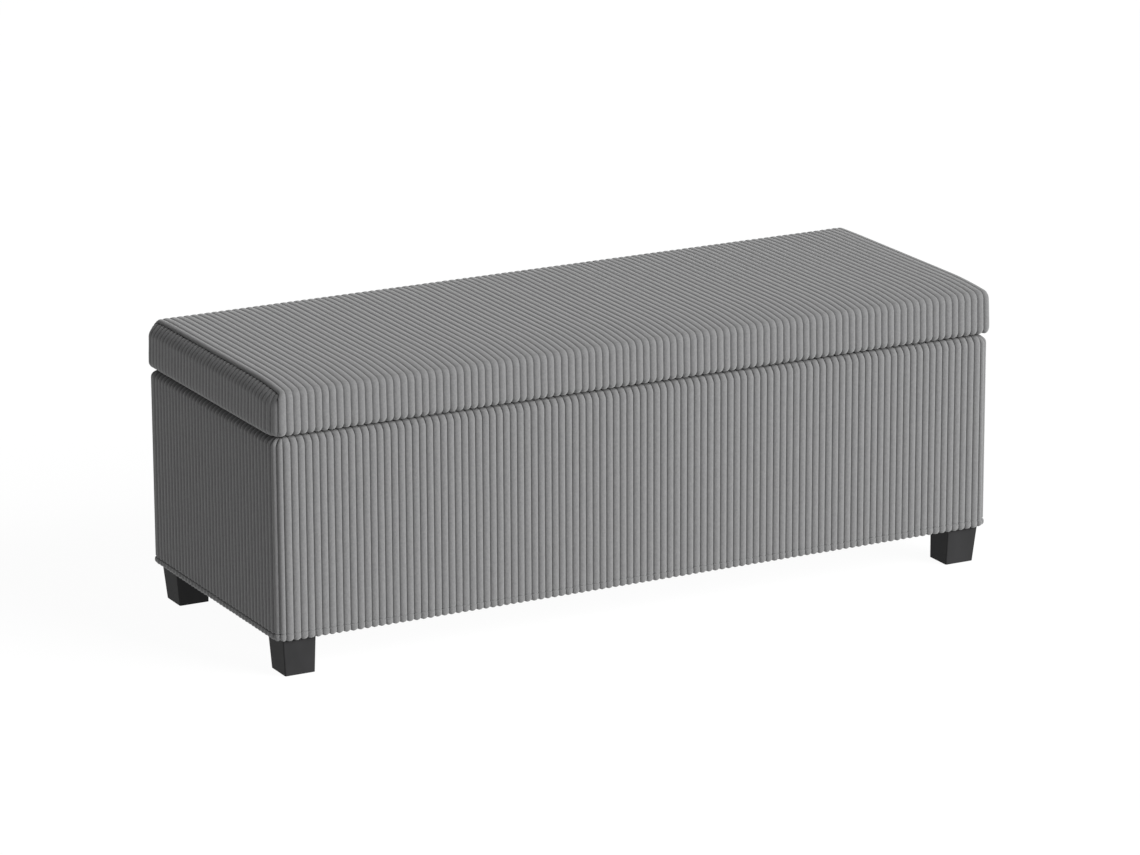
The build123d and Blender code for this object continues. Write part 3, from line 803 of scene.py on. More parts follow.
@dataclass(frozen=True)
class Wander:
    """Small unevenness of sewn ribs, the same each run."""

    sideways: float = 0.04 * MM  # how far a rib may drift
    fullness: float = 0.03  # how much fuller or flatter a rib may be
    wave: float = 85 * MM  # length of one bend
    seed: int = 7

    def bend(self, rib_number: np.ndarray, along: np.ndarray, edge: np.ndarray) -> np.ndarray:
        """Sideways drift of each rib.

        Args:
            rib_number: the number of the valley or rib that a vertex belongs to.
            along: distance along the rib.
            edge: 0 at a sewn edge, where nothing may drift, and 1 away from it.

        Returns:
            The sideways move of each vertex.
        """
        phase = np.random.default_rng(self.seed).uniform(0, 2 * math.pi, DRAWS)[rib_number % DRAWS]
        return self.sideways * edge * np.sin(2 * math.pi * along / self.wave + phase)

    def swell(self, rib_number: np.ndarray) -> np.ndarray:
        """How full each rib is, about 1."""
        draws = np.random.default_rng(self.seed + 1).uniform(-1, 1, DRAWS)
        return 1.0 + self.fullness * draws[rib_number % DRAWS]


# ---- The covered box ----


@dataclass
class BaseUpholstery:
    """Four ribbed panels round the box, with a sewn hem and the rim turned over."""

    finish: Corduroy = field(default_factory=Corduroy)
    rib: Rib = field(default_factory=Rib)
    wander: Wander = field(default_factory=Wander)
    seam_inset: float = 12.3 * MM  # from the box's ends to the corner seams
    end_bulge: float = 3.0 * MM  # how far the end panels stand past the frame's ends
    corner_round: float = 14.8 * MM  # radius of the upright corners
    top_round: float = 10.5 * MM  # radius where the cloth turns over the rim
    bottom_round: float = 4 * MM  # radius where it turns under the box
    rim_width: float = 21.4 * MM  # how far it goes in over the rim
    under_width: float = 16 * MM  # and in under the box
    flat_height: float = 1.0 * MM  # height of a rib on the rim and under the box
    face_share: float = 0.87  # share of a rib's height on the faces
    hem_height: float = 10 * MM  # from the box's lower edge to the stitches
    hem_pinch: float = 1.0 * MM  # how far the stitches draw the cloth in
    hem_proud: float = 0.4 * MM  # how far it stands out below them
    plump: float = 0.35  # how much deeper the valleys are where the cloth turns
    corner_flare: float = 1.0 * MM  # how far the hem stands out more at the corners
    seam_sink: float = 1.0 * MM  # how far the painted shade in the stitches' crease spreads
    crease_shade_width: float = 0.8 * MM  # how far the dark of the stitches spreads
    crease_shade_drop: float = 0.15 * MM  # and how far its middle lies below them
    front_hem_shade: float = 0.95  # how dark the painted shade at the stitches is on the front and back
    end_hem_shade: float = 0.4  # and on the ends
    end_rib: int = 90  # the number of an end's first rib in the random draws
    pressed_points_and_gap_shade: float = 0.55  # how dark the painted shade on the rim is, in the gap under the lid
    gap: float = 0.9 * MM  # how far the rim lies below the frame's

    def __post_init__(self) -> None:
        """Read the box's outline from the frame and lay out the path of a rib."""
        low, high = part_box("base_cover_left")
        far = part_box("base_cover_right")[1]
        self.half_x, self.half_y = far.x, high.y
        self.low, self.high = low.z, high.z - self.gap
        self.track = self.section()

    def section(self) -> Track:
        """The way of one rib: over the rim, down the face, past the hem and under the box.

        Returns:
            The line, in a plane with outward along its first axis and up along its second.
        """
        face = self.high - self.low - self.top_round - self.bottom_round
        hem = self.hem_height - self.bottom_round
        track = Track((-self.rim_width, self.high), 0.0)
        track.run(self.rim_width - self.top_round, 3)
        track.turn(self.top_round, 90.0, 7)
        # The stations lie closer from 6 mm above the stitches to 2 mm below them.
        track.run(face - hem - 6 * MM, 9).run(4 * MM, 2).run(2 * MM, 3).run(2 * MM, 3)
        track.run(hem - 2 * MM, 3)
        track.turn(self.bottom_round, 90.0, 5)
        track.run(self.under_width - self.bottom_round, 2)
        return track

    def hem(self, heights: np.ndarray) -> np.ndarray:
        """How far the cloth stands out: pinched at the stitches, proud below them.

        Args:
            heights: heights over the floor.

        Returns:
            The outward move at each height.
        """
        line = self.low + self.hem_height
        steps = (-8.0, -5.0, -1.3, -0.5, 0.3, 1.4, 4.0)
        proud, pinch = self.hem_proud, -self.hem_pinch
        outs = (0.5 * proud, proud, proud, pinch, pinch, 0.0, 0.0)
        return np.interp(heights, [line + step * MM for step in steps], outs)

    def ways(self, station: np.ndarray, height: np.ndarray) -> tuple[np.ndarray, ...]:
        """The section's place and normal for each vertex, and how deep it lies under the crests.

        Args:
            station: the vertex's station along its rib.
            height: its height over the valley in flat cloth.

        Returns:
            How far out, how high, the normal's outward and upward shares, and the depth.
        """
        places, normals = self.track.stations()
        out, up = places[station, 0], places[station, 1]
        side, rise = normals[station, 0], normals[station, 1]
        rim = lying(rise)
        under = ease(-(out + self.bottom_round) / (6 * MM)) * (rise < -0.5)
        flat = np.maximum(rim, under)
        share = (1 - flat) * (self.face_share + self.plump * np.abs(rise))
        share = share + flat * self.flat_height / self.rib.height
        depth = (self.rib.height - height) * share
        return out + self.hem(up) * side, up, side, rise, depth

    def hem_and_rim_shade(self, station: np.ndarray, height: np.ndarray, hem_shade: float) -> np.ndarray:
        """How much painted shade each vertex gets: in the crease of the hem's stitch line, and on the
        rim in the gap under the lid.

        Args:
            station: the vertex's station along its rib.
            height: its height over the valley in flat cloth.
            hem_shade: how dark the painted shade at the stitches is in a valley.

        Returns:
            A value from 0 to 1 for each vertex.
        """
        places, normals = self.track.stations()
        line = self.low + self.hem_height - self.crease_shade_drop
        away = (places[station, 1] - line) / self.crease_shade_width
        # Painted shade in the stitch crease, darker in the valleys than on the crests.
        stitch = hem_shade * np.exp(-(away**2)) * (1 - 0.6 * height / self.rib.height)
        return np.maximum(stitch, self.pressed_points_and_gap_shade * gap_shade_share(normals[station, 1]))

    def sections(
        self, flat: FlatCloth, panel: bpy.types.Object, hem_shade: float, first_rib: int
    ) -> tuple[np.ndarray, ...]:
        """Paint a flat panel's shade and work out where its vertices lie in the section.

        Args:
            flat: how the panel was laid.
            panel: the flat cloth.
            hem_shade: how dark the painted shade at its stitches is.
            first_rib: its first rib's number in the random draws.

        Returns:
            Place across, how far out, the station's height, the inward move and the height.
        """
        across, station, height = flat.read(panel)
        sewn = flat.sewn(across)
        # Painted shade at the sewn edges, in the hem's stitch crease and on the rim under the lid.
        flat.paint_shade(panel, height, np.maximum(self.hem_and_rim_shade(station, height, hem_shade), sewn))
        number = across / flat.width * flat.count
        height = height * self.wander.swell(number.astype(int) + first_rib)
        out, up, side, rise, depth = self.ways(station, height)
        edge = ease(np.minimum(across, flat.width - across) / self.rib.pitch)
        number = np.rint(number).astype(int) + first_rib
        drift = self.wander.bend(number, np.array(self.track.marks)[station], edge)
        inward = (depth + self.seam_sink * sewn * (side > 0.5)) * side
        return across + drift, out, up, inward, up - depth * rise

    def front(self) -> bpy.types.Object:
        """The long front panel.

        Returns:
            The panel.
        """
        width = 2 * (self.half_x - self.seam_inset)
        count = round(width / self.rib.pitch)
        flat = FlatCloth("base_cover_front_cloth", self.rib, count, width, len(self.track.marks))
        panel = flat.lay()
        across, out, _, inward, z = self.sections(flat, panel, self.front_hem_shade, 0)
        y = -(self.half_y + out) + inward
        move_points(panel, np.column_stack((across - width / 2, y, z)))
        root = self.half_y - self.rib.height - self.seam_sink
        for side in Side:
            seam = Vector((side.value * (self.half_x - self.seam_inset), -root, 0.0))
            inner = Vector((side.value * self.inner_x, -self.inner_y, 0.0))
            cut_mitre(panel, every_face(panel), seam, inner)
        return flat.finish(panel)

    @property
    def inner_x(self) -> float:
        """Where the end rims stop, at the inside of the box."""
        return self.half_x - self.rim_width

    @property
    def inner_y(self) -> float:
        """Where the front and back rims stop, at the inside of the box."""
        return self.half_y - self.rim_width

    def left_end(self) -> bpy.types.Object:
        """The end panel, which turns both corners as far as the seams.

        Returns:
            The panel.
        """
        corner = self.corner_round
        plan = Track((-(self.half_x - self.seam_inset), -self.half_y), 180.0)
        face = self.seam_inset + self.end_bulge - corner
        plan.run(face).turn(corner, 90.0, 12)
        plan.run(2 * (self.half_y - corner))
        plan.turn(corner, 90.0, 12).run(face)
        count = round(plan.length / self.rib.pitch)
        flat = FlatCloth("base_cover_left_cloth", self.rib, count, plan.length, len(self.track.marks))
        panel = flat.lay()
        across, out, up, inward, z = self.sections(flat, panel, self.end_hem_shade, self.end_rib)
        place, normal = plan.along(across)
        inner = np.column_stack(
            (np.maximum(place[:, 0], -self.inner_x), np.clip(place[:, 1], -self.inner_y, self.inner_y))
        )
        turning = 4 * (normal[:, 0] * normal[:, 1]) ** 2
        hem_zone = ease((self.low + self.hem_height - up) / (4 * MM))
        outward = np.clip(out, 0.0, None) + self.corner_flare * turning * hem_zone
        over_rim = np.clip(-out, 0.0, None) / self.rim_width
        ground = place + (inner - place) * over_rim[:, None] + normal * outward[:, None]
        ground -= normal * inward[:, None]
        move_points(panel, np.column_stack((ground, z)))
        return flat.finish(panel)

    def build(self) -> list[bpy.types.Object]:
        """Model the four panels and set them on the box.

        Returns:
            The panels.
        """
        cloth = self.finish.make()
        front, left = self.front(), self.left_end()
        panels = {
            "front": front,
            "back": turned_copy(front, "base_cover_back_cloth"),
            "left": left,
            "right": turned_copy(left, "base_cover_right_cloth"),
        }
        for name, panel in panels.items():
            dress(panel, cloth)
            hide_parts(f"base_cover_{name}")
            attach(panel, "base")
        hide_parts("wall_padding")
        return list(panels.values())


# ---- The padded lid ----


@dataclass
class Plumping:
    """Air pressure in a form of the lid's foam, which gives the covers their soft swelling."""

    corner: float = 12 * MM  # radius of the form's corners
    voxel: float = 6 * MM  # size of its even faces
    pressure: float = 4.0  # air pressure in it
    frames: int = 20  # how long it is blown up
    held_height: float = 9 * MM  # it is held below this height
    rise: float = 0.8 * MM  # no point moves further than this
    still_height: float = 12 * MM  # the covers stay still below this
    full_share: float = 0.45  # and move fully a share of the lid's height above it

    def form(self, low: Vector, high: Vector) -> bpy.types.Object:
        """A rounded closed form of the lid's size.

        Args:
            low: its lowest corner.
            high: its highest corner.

        Returns:
            The form.
        """
        put_down_everything()
        bpy.ops.mesh.primitive_cube_add(size=1.0, location=(low + high) / 2, scale=high - low)
        form = bpy.context.object
        form.name = form.data.name = "lid_form"
        bpy.ops.object.transform_apply(location=True, rotation=True, scale=True)
        apply_modifier(form, "BEVEL", width=self.corner, segments=4, limit_method="ANGLE")
        apply_modifier(form, "REMESH", mode="VOXEL", voxel_size=self.voxel)
        return form

    def moves(self, low: Vector, high: Vector) -> tuple[np.ndarray, np.ndarray]:
        """How the form's surface moves when it is plumped.

        Args:
            low: lowest corner of the lid's covered form.
            high: highest corner of it.

        Returns:
            The form's points at rest, and the capped move of each.
        """
        form = self.form(low, high)
        rest = points_of(form)
        held = form.vertex_groups.new(name="held")
        grip = np.flatnonzero(rest[:, 2] < low.z + self.held_height)
        held.add([int(number) for number in grip], 1.0, "REPLACE")
        pick_up(form)
        bpy.ops.object.modifier_add(type="CLOTH")
        cloth = form.modifiers[-1]
        cloth.settings.quality = 4
        cloth.settings.use_pressure = True
        cloth.settings.uniform_pressure_force = self.pressure
        cloth.settings.effector_weights.gravity = 0.0
        cloth.settings.vertex_group_mass = "held"
        cloth.collision_settings.use_collision = False
        scene = bpy.context.scene
        for number in range(1, self.frames + 1):
            scene.frame_set(number)
        bpy.ops.object.modifier_apply(modifier=cloth.name)
        move = points_of(form) - rest
        scene.frame_set(1)
        bpy.data.objects.remove(form, do_unlink=True)
        size = np.linalg.norm(move, axis=1, keepdims=True)
        capped = self.rise * np.tanh(size / self.rise)
        return rest, move * capped / np.maximum(size, 1e-9)

    def apply(self, pieces: list[bpy.types.Object], low: Vector, high: Vector) -> None:
        """Carry the form's soft swelling over to the covers.

        Args:
            pieces: the covers.
            low: lowest corner of the lid's covered form.
            high: highest corner of it.
        """
        rest, move = self.moves(low, high)
        tree = KDTree(len(rest))
        for number, place in enumerate(rest):
            tree.insert(place, number)
        tree.balance()
        full_height = self.full_share * (high.z - low.z)
        for piece in pieces:
            points = points_of(piece)
            carried = np.empty_like(points)
            for row, place in enumerate(points):
                near = tree.find_n(place, 4)
                weights = [1.0 / (found[2] + 1 * MM) for found in near]
                picked = sum(w * move[found[1]] for w, found in zip(weights, near))
                carried[row] = picked / sum(weights)
            hold = ease((points[:, 2] - low.z - self.still_height) / full_height)
            move_points(piece, points + carried * hold[:, None])


@dataclass
class LidUpholstery:
    """The ribbed wrap over the lid's foam, and its two sewn end panels."""

    finish: Corduroy = field(default_factory=Corduroy)
    rib: Rib = field(default_factory=Rib)
    wander: Wander = field(default_factory=lambda: Wander(seed=21))
    plumping: Plumping = field(default_factory=Plumping)
    left_seam: float = -545.0 * MM  # where the left end's seam stands along the bench
    right_seam: float = 552.2 * MM  # and the right end's
    corner_gather: float = 1.8 * MM  # how far the left seam is drawn in below the top
    left_bulge: float = 8.6 * MM  # how far the left end swells past its seam
    right_bulge: float = 4.0 * MM  # and the right end
    front_fall: float = 5.0 * MM  # how far the top falls to its front edge
    front_crown: float = 90 * MM  # and over what depth
    back_fall: float = 1.0 * MM  # how far it falls to its back edge
    back_crown: float = 60 * MM  # and over what depth
    top_round: float = 13 * MM  # radius of the top's long edges
    bottom_round: float = 8.5 * MM  # radius where the cloth turns under the lid
    under_width: float = 24 * MM  # how far it goes in under the lid
    flat_height: float = 1.5 * MM  # height of a rib under the lid
    top_height: float = 1.5 * MM  # and on its top
    plump: float = 0.3  # how much deeper the valleys are where the cloth turns under
    face_lean: float = 12.0  # degrees by which the outermost ribs lean over on the faces
    left_lean: float = 42.0  # and on the top at the left end
    right_lean: float = 25.0  # and at the right end
    front_reach: float = 26 * MM  # how far from the front the left end comes to its full swell
    back_reach: float = 11 * MM  # and how far from the back
    face_height: float = 2.2 * MM  # height of a rib on the faces
    end_share: float = 0.68  # share of a rib's height on the end panels
    shoulder: float = 17 * MM  # height over which an end panel turns in to its seam
    tip: float = 4.5 * MM  # length over which its ribs run out there
    tip_share: float = 0.1  # share of their height that is left at the seam
    seam_sink: float = 2.1 * MM  # how deep the sewn edges dive
    mitre_sink: float = 1.5 * MM  # how much deeper than the valleys the mitres start
    crease_shade_width: float = 2.0 * MM  # how far the painted shade at the end seams spreads
    under_steps: int = 2  # stations under the lid
    roll_steps: int = 6  # round its bottom edge
    face_steps: int = 4  # and up the front or the back
    wall_steps: int = 5  # stations up the wall of an end panel
    shoulder_steps: int = 14  # and over its shoulder
    end_rib: int = 150  # the number of an end's first rib in the random draws
    pressed_points_and_gap_shade: float = 0.55  # how dark the painted shade under the lid is, over the gap to the box
    gap: float = 0.2 * MM  # how far the underside lies above the frame's

    def __post_init__(self) -> None:
        """Read the lid's outline from the frame and lay out the path of a rib."""
        low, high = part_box("lid_cover_left_end")
        self.half_x, self.half_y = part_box("lid_cover_right_end")[1].x, high.y
        self.low, self.high = low.z + self.gap, high.z
        self.half_wrap = (self.right_seam - self.left_seam - self.corner_gather) / 2
        self.middle = self.right_seam - self.half_wrap
        self.count = round(2 * self.half_wrap / self.rib.pitch)
        self.pitch = 2 * self.half_wrap / self.count
        self.track = self.section()

    def section(self) -> Track:
        """The way of one rib: from under the front edge, over the crowned top, to under the back.

        Returns:
            The line, in a plane with backwards along its first axis and up along its second.
        """
        front = 2 * math.atan(self.front_fall / self.front_crown)
        back = 2 * math.atan(self.back_fall / self.back_crown)
        tall = self.high - self.low - self.bottom_round
        under = self.under_width - self.bottom_round
        edges = self.top_round * (2 - math.sin(front) - math.sin(back))
        track = Track((-(self.half_y - self.under_width), self.low), 180.0)
        track.run(under, self.under_steps).turn(self.bottom_round, 90.0, self.roll_steps)
        track.run(tall - self.top_round * math.cos(front) - self.front_fall, self.face_steps)
        track.turn(self.top_round, 90.0 - math.degrees(front), 8)
        track.turn(self.front_crown / math.sin(front), math.degrees(front), 6)
        track.run(2 * self.half_y - edges - self.front_crown - self.back_crown, 6)
        track.turn(self.back_crown / math.sin(back), math.degrees(back), 4)
        track.turn(self.top_round, 90.0 - math.degrees(back), 8)
        track.run(tall - self.top_round * math.cos(back) - self.back_fall, self.face_steps)
        return track.turn(self.bottom_round, 90.0, self.roll_steps).run(under, self.under_steps)

    def wrap_points(self, across: np.ndarray, station: np.ndarray, height: np.ndarray) -> np.ndarray:
        """Where points of the wrap lie, with its outermost ribs leaning over the ends.

        Args:
            across: place along the bench, 0 in its middle.
            station: station along the rib.
            height: height over the valley in flat cloth.

        Returns:
            A row of x, y, z for each point.
        """
        places, normals = self.track.stations()
        y, z = places[station, 0], places[station, 1]
        side, rise = normals[station, 0], normals[station, 1]
        folded = lying(-rise)
        top = ease((rise - 0.3) / 0.7)
        kept = self.face_height + top * (self.top_height - self.face_height)
        kept = kept + folded * (self.flat_height - kept)
        round_out = self.plump * np.clip(-rise, 0.0, 1.0) * (1 - folded)
        depth = (self.rib.height - height) * (kept / self.rib.height + round_out)
        sign = np.sign(across)
        inner = self.half_wrap - self.pitch
        share = np.clip((np.abs(across) - inner) / self.pitch, 0.0, 1.0)
        depth = depth + self.seam_sink * np.clip(10 * share - 9, 0, 1) * (1 - folded)
        top_lean = np.where(sign < 0, self.left_lean, self.right_lean)
        lean_full = self.face_lean + (top_lean - self.face_lean) * ease(rise / 0.9)
        full = np.radians(lean_full * (1 - folded) + 0.5 * folded)
        lean = full * share
        bend = self.pitch / full
        x = np.where(share > 0, sign * (inner + bend * np.sin(lean)), across)
        x = x + self.middle - self.corner_gather * share * (sign < 0) * (1 - top)
        drop = bend * (1 - np.cos(lean))
        tilt = np.cos(lean)
        x = x - sign * depth * np.sin(lean)
        into = drop + depth * tilt
        return np.column_stack((x, y - into * side, z - into * rise))

    def wrap(self) -> bpy.types.Object:
        """The panel over the top, front and back.

        Returns:
            The panel.
        """
        width = 2 * self.half_wrap
        flat = FlatCloth("lid_cover_cloth", self.rib, self.count, width, len(self.track.marks))
        panel = flat.lay()
        across, station, height = flat.read(panel)
        # Painted shade under the lid, over the gap to the box, and at the sewn edges.
        under = self.pressed_points_and_gap_shade * gap_shade_share(-self.track.stations()[1][station, 1])
        flat.paint_shade(panel, height, np.maximum(under, flat.sewn(across)))
        number = across / width * self.count
        height = height * self.wander.swell(number.astype(int))
        edge = ease(np.minimum(across, width - across) / self.pitch - 1.0)
        marks = np.array(self.track.marks)[station]
        drift = self.wander.bend(np.rint(number).astype(int), marks, edge)
        move_points(panel, self.wrap_points(across + drift - width / 2, station, height))
        self.mitre(panel)
        return flat.finish(panel)

    def mitre(self, panel: bpy.types.Object) -> None:
        """Cut the wrap's underside along the diagonals of its four corners.

        Args:
            panel: the shaped wrap.
        """
        roll_top = self.low + self.bottom_round
        root = self.half_y - self.rib.height - self.mitre_sink
        inner_x, inner_y = self.half_x - self.under_width, self.half_y - self.under_width
        for side, seam_x in ((Side.LEFT, self.left_seam), (Side.RIGHT, self.right_seam)):
            for end in (-1, 1):
                centres = face_centres(panel)
                faces = (centres[:, 2] < roll_top) & (centres[:, 1] * end > 0)
                inner = Vector((side.value * inner_x, end * inner_y, 0.0))
                cut_mitre(panel, faces, Vector((seam_x, end * root, 0.0)), inner)

    def border(self, side: Side) -> np.ndarray:
        """The wrap's sewn edge as if at the left end, from the front face over the top to the back.

        Args:
            side: the end it belongs to.

        Returns:
            A row of x, y, z for each station.
        """
        first = self.under_steps + self.roll_steps + self.face_steps
        stations = np.arange(first, len(self.track.marks) - first)
        across = np.full(len(stations), side.value * self.half_wrap)
        edge = self.wrap_points(across, stations, np.zeros(len(stations)))
        if side is Side.RIGHT:
            edge[:, :2] *= -1
            edge = edge[::-1]
        return edge

    def plan(self, side: Side) -> Track:
        """The end panel's crest line from above, as if at the left end, seam to seam.

        Args:
            side: the end it is for.

        Returns:
            The line.
        """
        start, finish = self.border(side)[[0, -1]]
        stand = self.rib.height * self.end_share
        bulge = self.left_bulge if side is Side.LEFT else self.right_bulge
        reaches = (self.front_reach, self.back_reach)
        first, last = reaches if side is Side.LEFT else reaches[::-1]
        swing = bulge - stand + self.seam_sink
        bend = 2 * math.atan(swing / first)
        back_swing, back_bend = swing, bend
        for _ in range(6):
            back_bend = 2 * math.atan(back_swing / last)
            back_swing = swing + stand * (math.cos(bend) - math.cos(back_bend))
        out = Vector((-math.cos(bend), -math.sin(bend))) * stand
        plan = Track((start[0] + out.x, start[1] + out.y), 90.0 + math.degrees(bend))
        plan.turn(first / math.sin(bend), math.degrees(bend), 8)
        plan.run(finish[1] + stand * math.sin(back_bend) - last - plan.places[-1][1])
        return plan.turn(last / math.sin(back_bend), math.degrees(back_bend), 8)

    def end_roll(
        self, place: np.ndarray, normal: np.ndarray, station: np.ndarray, height: np.ndarray
    ) -> np.ndarray:
        """An end panel under the lid and round its bottom edge, ruled in towards the inner corner.

        Args:
            place: each vertex's place on the plan's crest line.
            normal: the line's outward normal there.
            station: the vertex's station along its rib.
            height: its height over the valley in flat cloth.

        Returns:
            A row of x, y, z for each vertex.
        """
        angle = np.radians(90.0) * np.clip((station - self.under_steps) / self.roll_steps, 0.0, 1.0)
        run = 0.94 * self.under_width - self.bottom_round
        run = run * (self.under_steps - station) / self.under_steps
        inset = self.bottom_round * (1 - np.sin(angle))
        inset = np.where(station < self.under_steps, self.bottom_round + run, inset)
        kept = self.flat_height / self.rib.height - self.end_share
        kept = self.end_share + lying(np.cos(angle)) * kept
        depth = (self.rib.height - height) * kept
        inner_x, inner_y = self.half_x - self.under_width, self.half_y - self.under_width
        inner = np.column_stack(
            (np.maximum(place[:, 0], -inner_x), np.clip(place[:, 1], -inner_y, inner_y))
        )
        ground = place + (inner - place) * (inset / self.under_width)[:, None]
        ground -= normal * (depth * np.sin(angle))[:, None]
        up = self.low + self.bottom_round * (1 - np.cos(angle)) + depth * np.cos(angle)
        return np.column_stack((ground, up))

    def end_face(
        self,
        border: np.ndarray,
        place: np.ndarray,
        normal: np.ndarray,
        station: np.ndarray,
        height: np.ndarray,
    ) -> tuple[np.ndarray, np.ndarray, np.ndarray]:
        """An end panel up its wall and over the shoulder to the seam, from its valleys outwards.

        Args:
            border: the wrap's sewn edge.
            place: each vertex's place on the plan's crest line.
            normal: the line's outward normal there.
            station: the vertex's station along its rib.
            height: its height over the valley in flat cloth.

        Returns:
            A row of x, y, z for each vertex, its rib's share of fullness, and how far the seam is.
        """
        root = place - normal * self.rib.height * self.end_share
        seam_x = np.interp(root[:, 1], border[:, 1], border[:, 0])
        seam_z = np.interp(root[:, 1], border[:, 1], border[:, 2])
        wall_low = self.low + self.bottom_round
        rise = np.minimum(self.shoulder, 0.85 * (seam_z - wall_low))
        first = self.under_steps + self.roll_steps
        climb = np.clip((station - first) / self.wall_steps, 0.0, 1.0)
        sweep = np.clip((station - first - self.wall_steps) / self.shoulder_steps, 0.0, 1.0)
        sweep = 1 - (1 - sweep) ** 1.4
        reach = seam_x - root[:, 0]
        out, lift = rise, 2 * np.maximum(reach, 1.5 * MM) * sweep
        size = np.hypot(out, lift)
        left = np.hypot(reach, rise) * (1 - sweep)
        near = 1 - np.clip(left / self.tip, 0.0, 1.0)
        tips = self.tip_share + (1 - self.tip_share) * np.sqrt(1 - near**2)
        stand = height * tips * self.end_share
        x = root[:, 0] + reach * sweep**2 + normal[:, 0] * out / size * stand
        y = root[:, 1] + normal[:, 1] * out / size * stand
        z = wall_low + (seam_z - wall_low - rise) * climb + rise * sweep + lift / size * stand
        return np.column_stack((x, y, z)), tips, left

    def end(self, side: Side) -> bpy.types.Object:
        """One pillowed end panel, its ribs upright and drawn in to the seam at their tops.

        Args:
            side: the end it is for.

        Returns:
            The panel, standing at the left end.
        """
        plan = self.plan(side)
        count = round(plan.length / self.rib.pitch)
        first = self.under_steps + self.roll_steps
        stations = first + self.wall_steps + self.shoulder_steps + 1
        name = f"lid_cover_{side.name.lower()}_end_cloth"
        flat = FlatCloth(name, self.rib, count, plan.length, stations)
        panel = flat.lay()
        across, station, height = flat.read(panel)
        number = (across / plan.length * count).astype(int) + self.end_rib
        full = height * self.wander.swell(number)
        place, normal = plan.along(across)
        roll = self.end_roll(place, normal, station, full)
        face, tips, left = self.end_face(self.border(side), place, normal, station, full)
        upper = station > first
        # Painted shade where the end panel's ribs run into the seam.
        sewn = upper * ease(1.3 - left / self.crease_shade_width - 0.5 * height / self.rib.height)
        flat.paint_shade(panel, np.where(upper, height * tips, height), sewn)
        move_points(panel, np.where(upper[:, None], face, roll))
        return flat.finish(panel)

    def build(self) -> list[bpy.types.Object]:
        """Model the three panels, plump them and set them on the lid.

        Returns:
            The panels.
        """
        cloth = self.finish.make()
        wrap, left, right = self.wrap(), self.end(Side.LEFT), self.end(Side.RIGHT)
        right.data.transform(Matrix.Rotation(math.pi, 4, "Z"))
        corner = Vector((self.half_x, self.half_y, 0.0))
        low, high = Vector((0, 0, self.low)) - corner, Vector((0, 0, self.high)) + corner
        self.plumping.apply([wrap, left, right], low, high)
        nodes = {"lid_cover": wrap, "lid_cover_left_end": left, "lid_cover_right_end": right}
        for name, panel in nodes.items():
            dress(panel, cloth)
            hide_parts(name)
            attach(panel, "lid")
        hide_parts("lid_foam")
        return list(nodes.values())


# ---- Linings ----


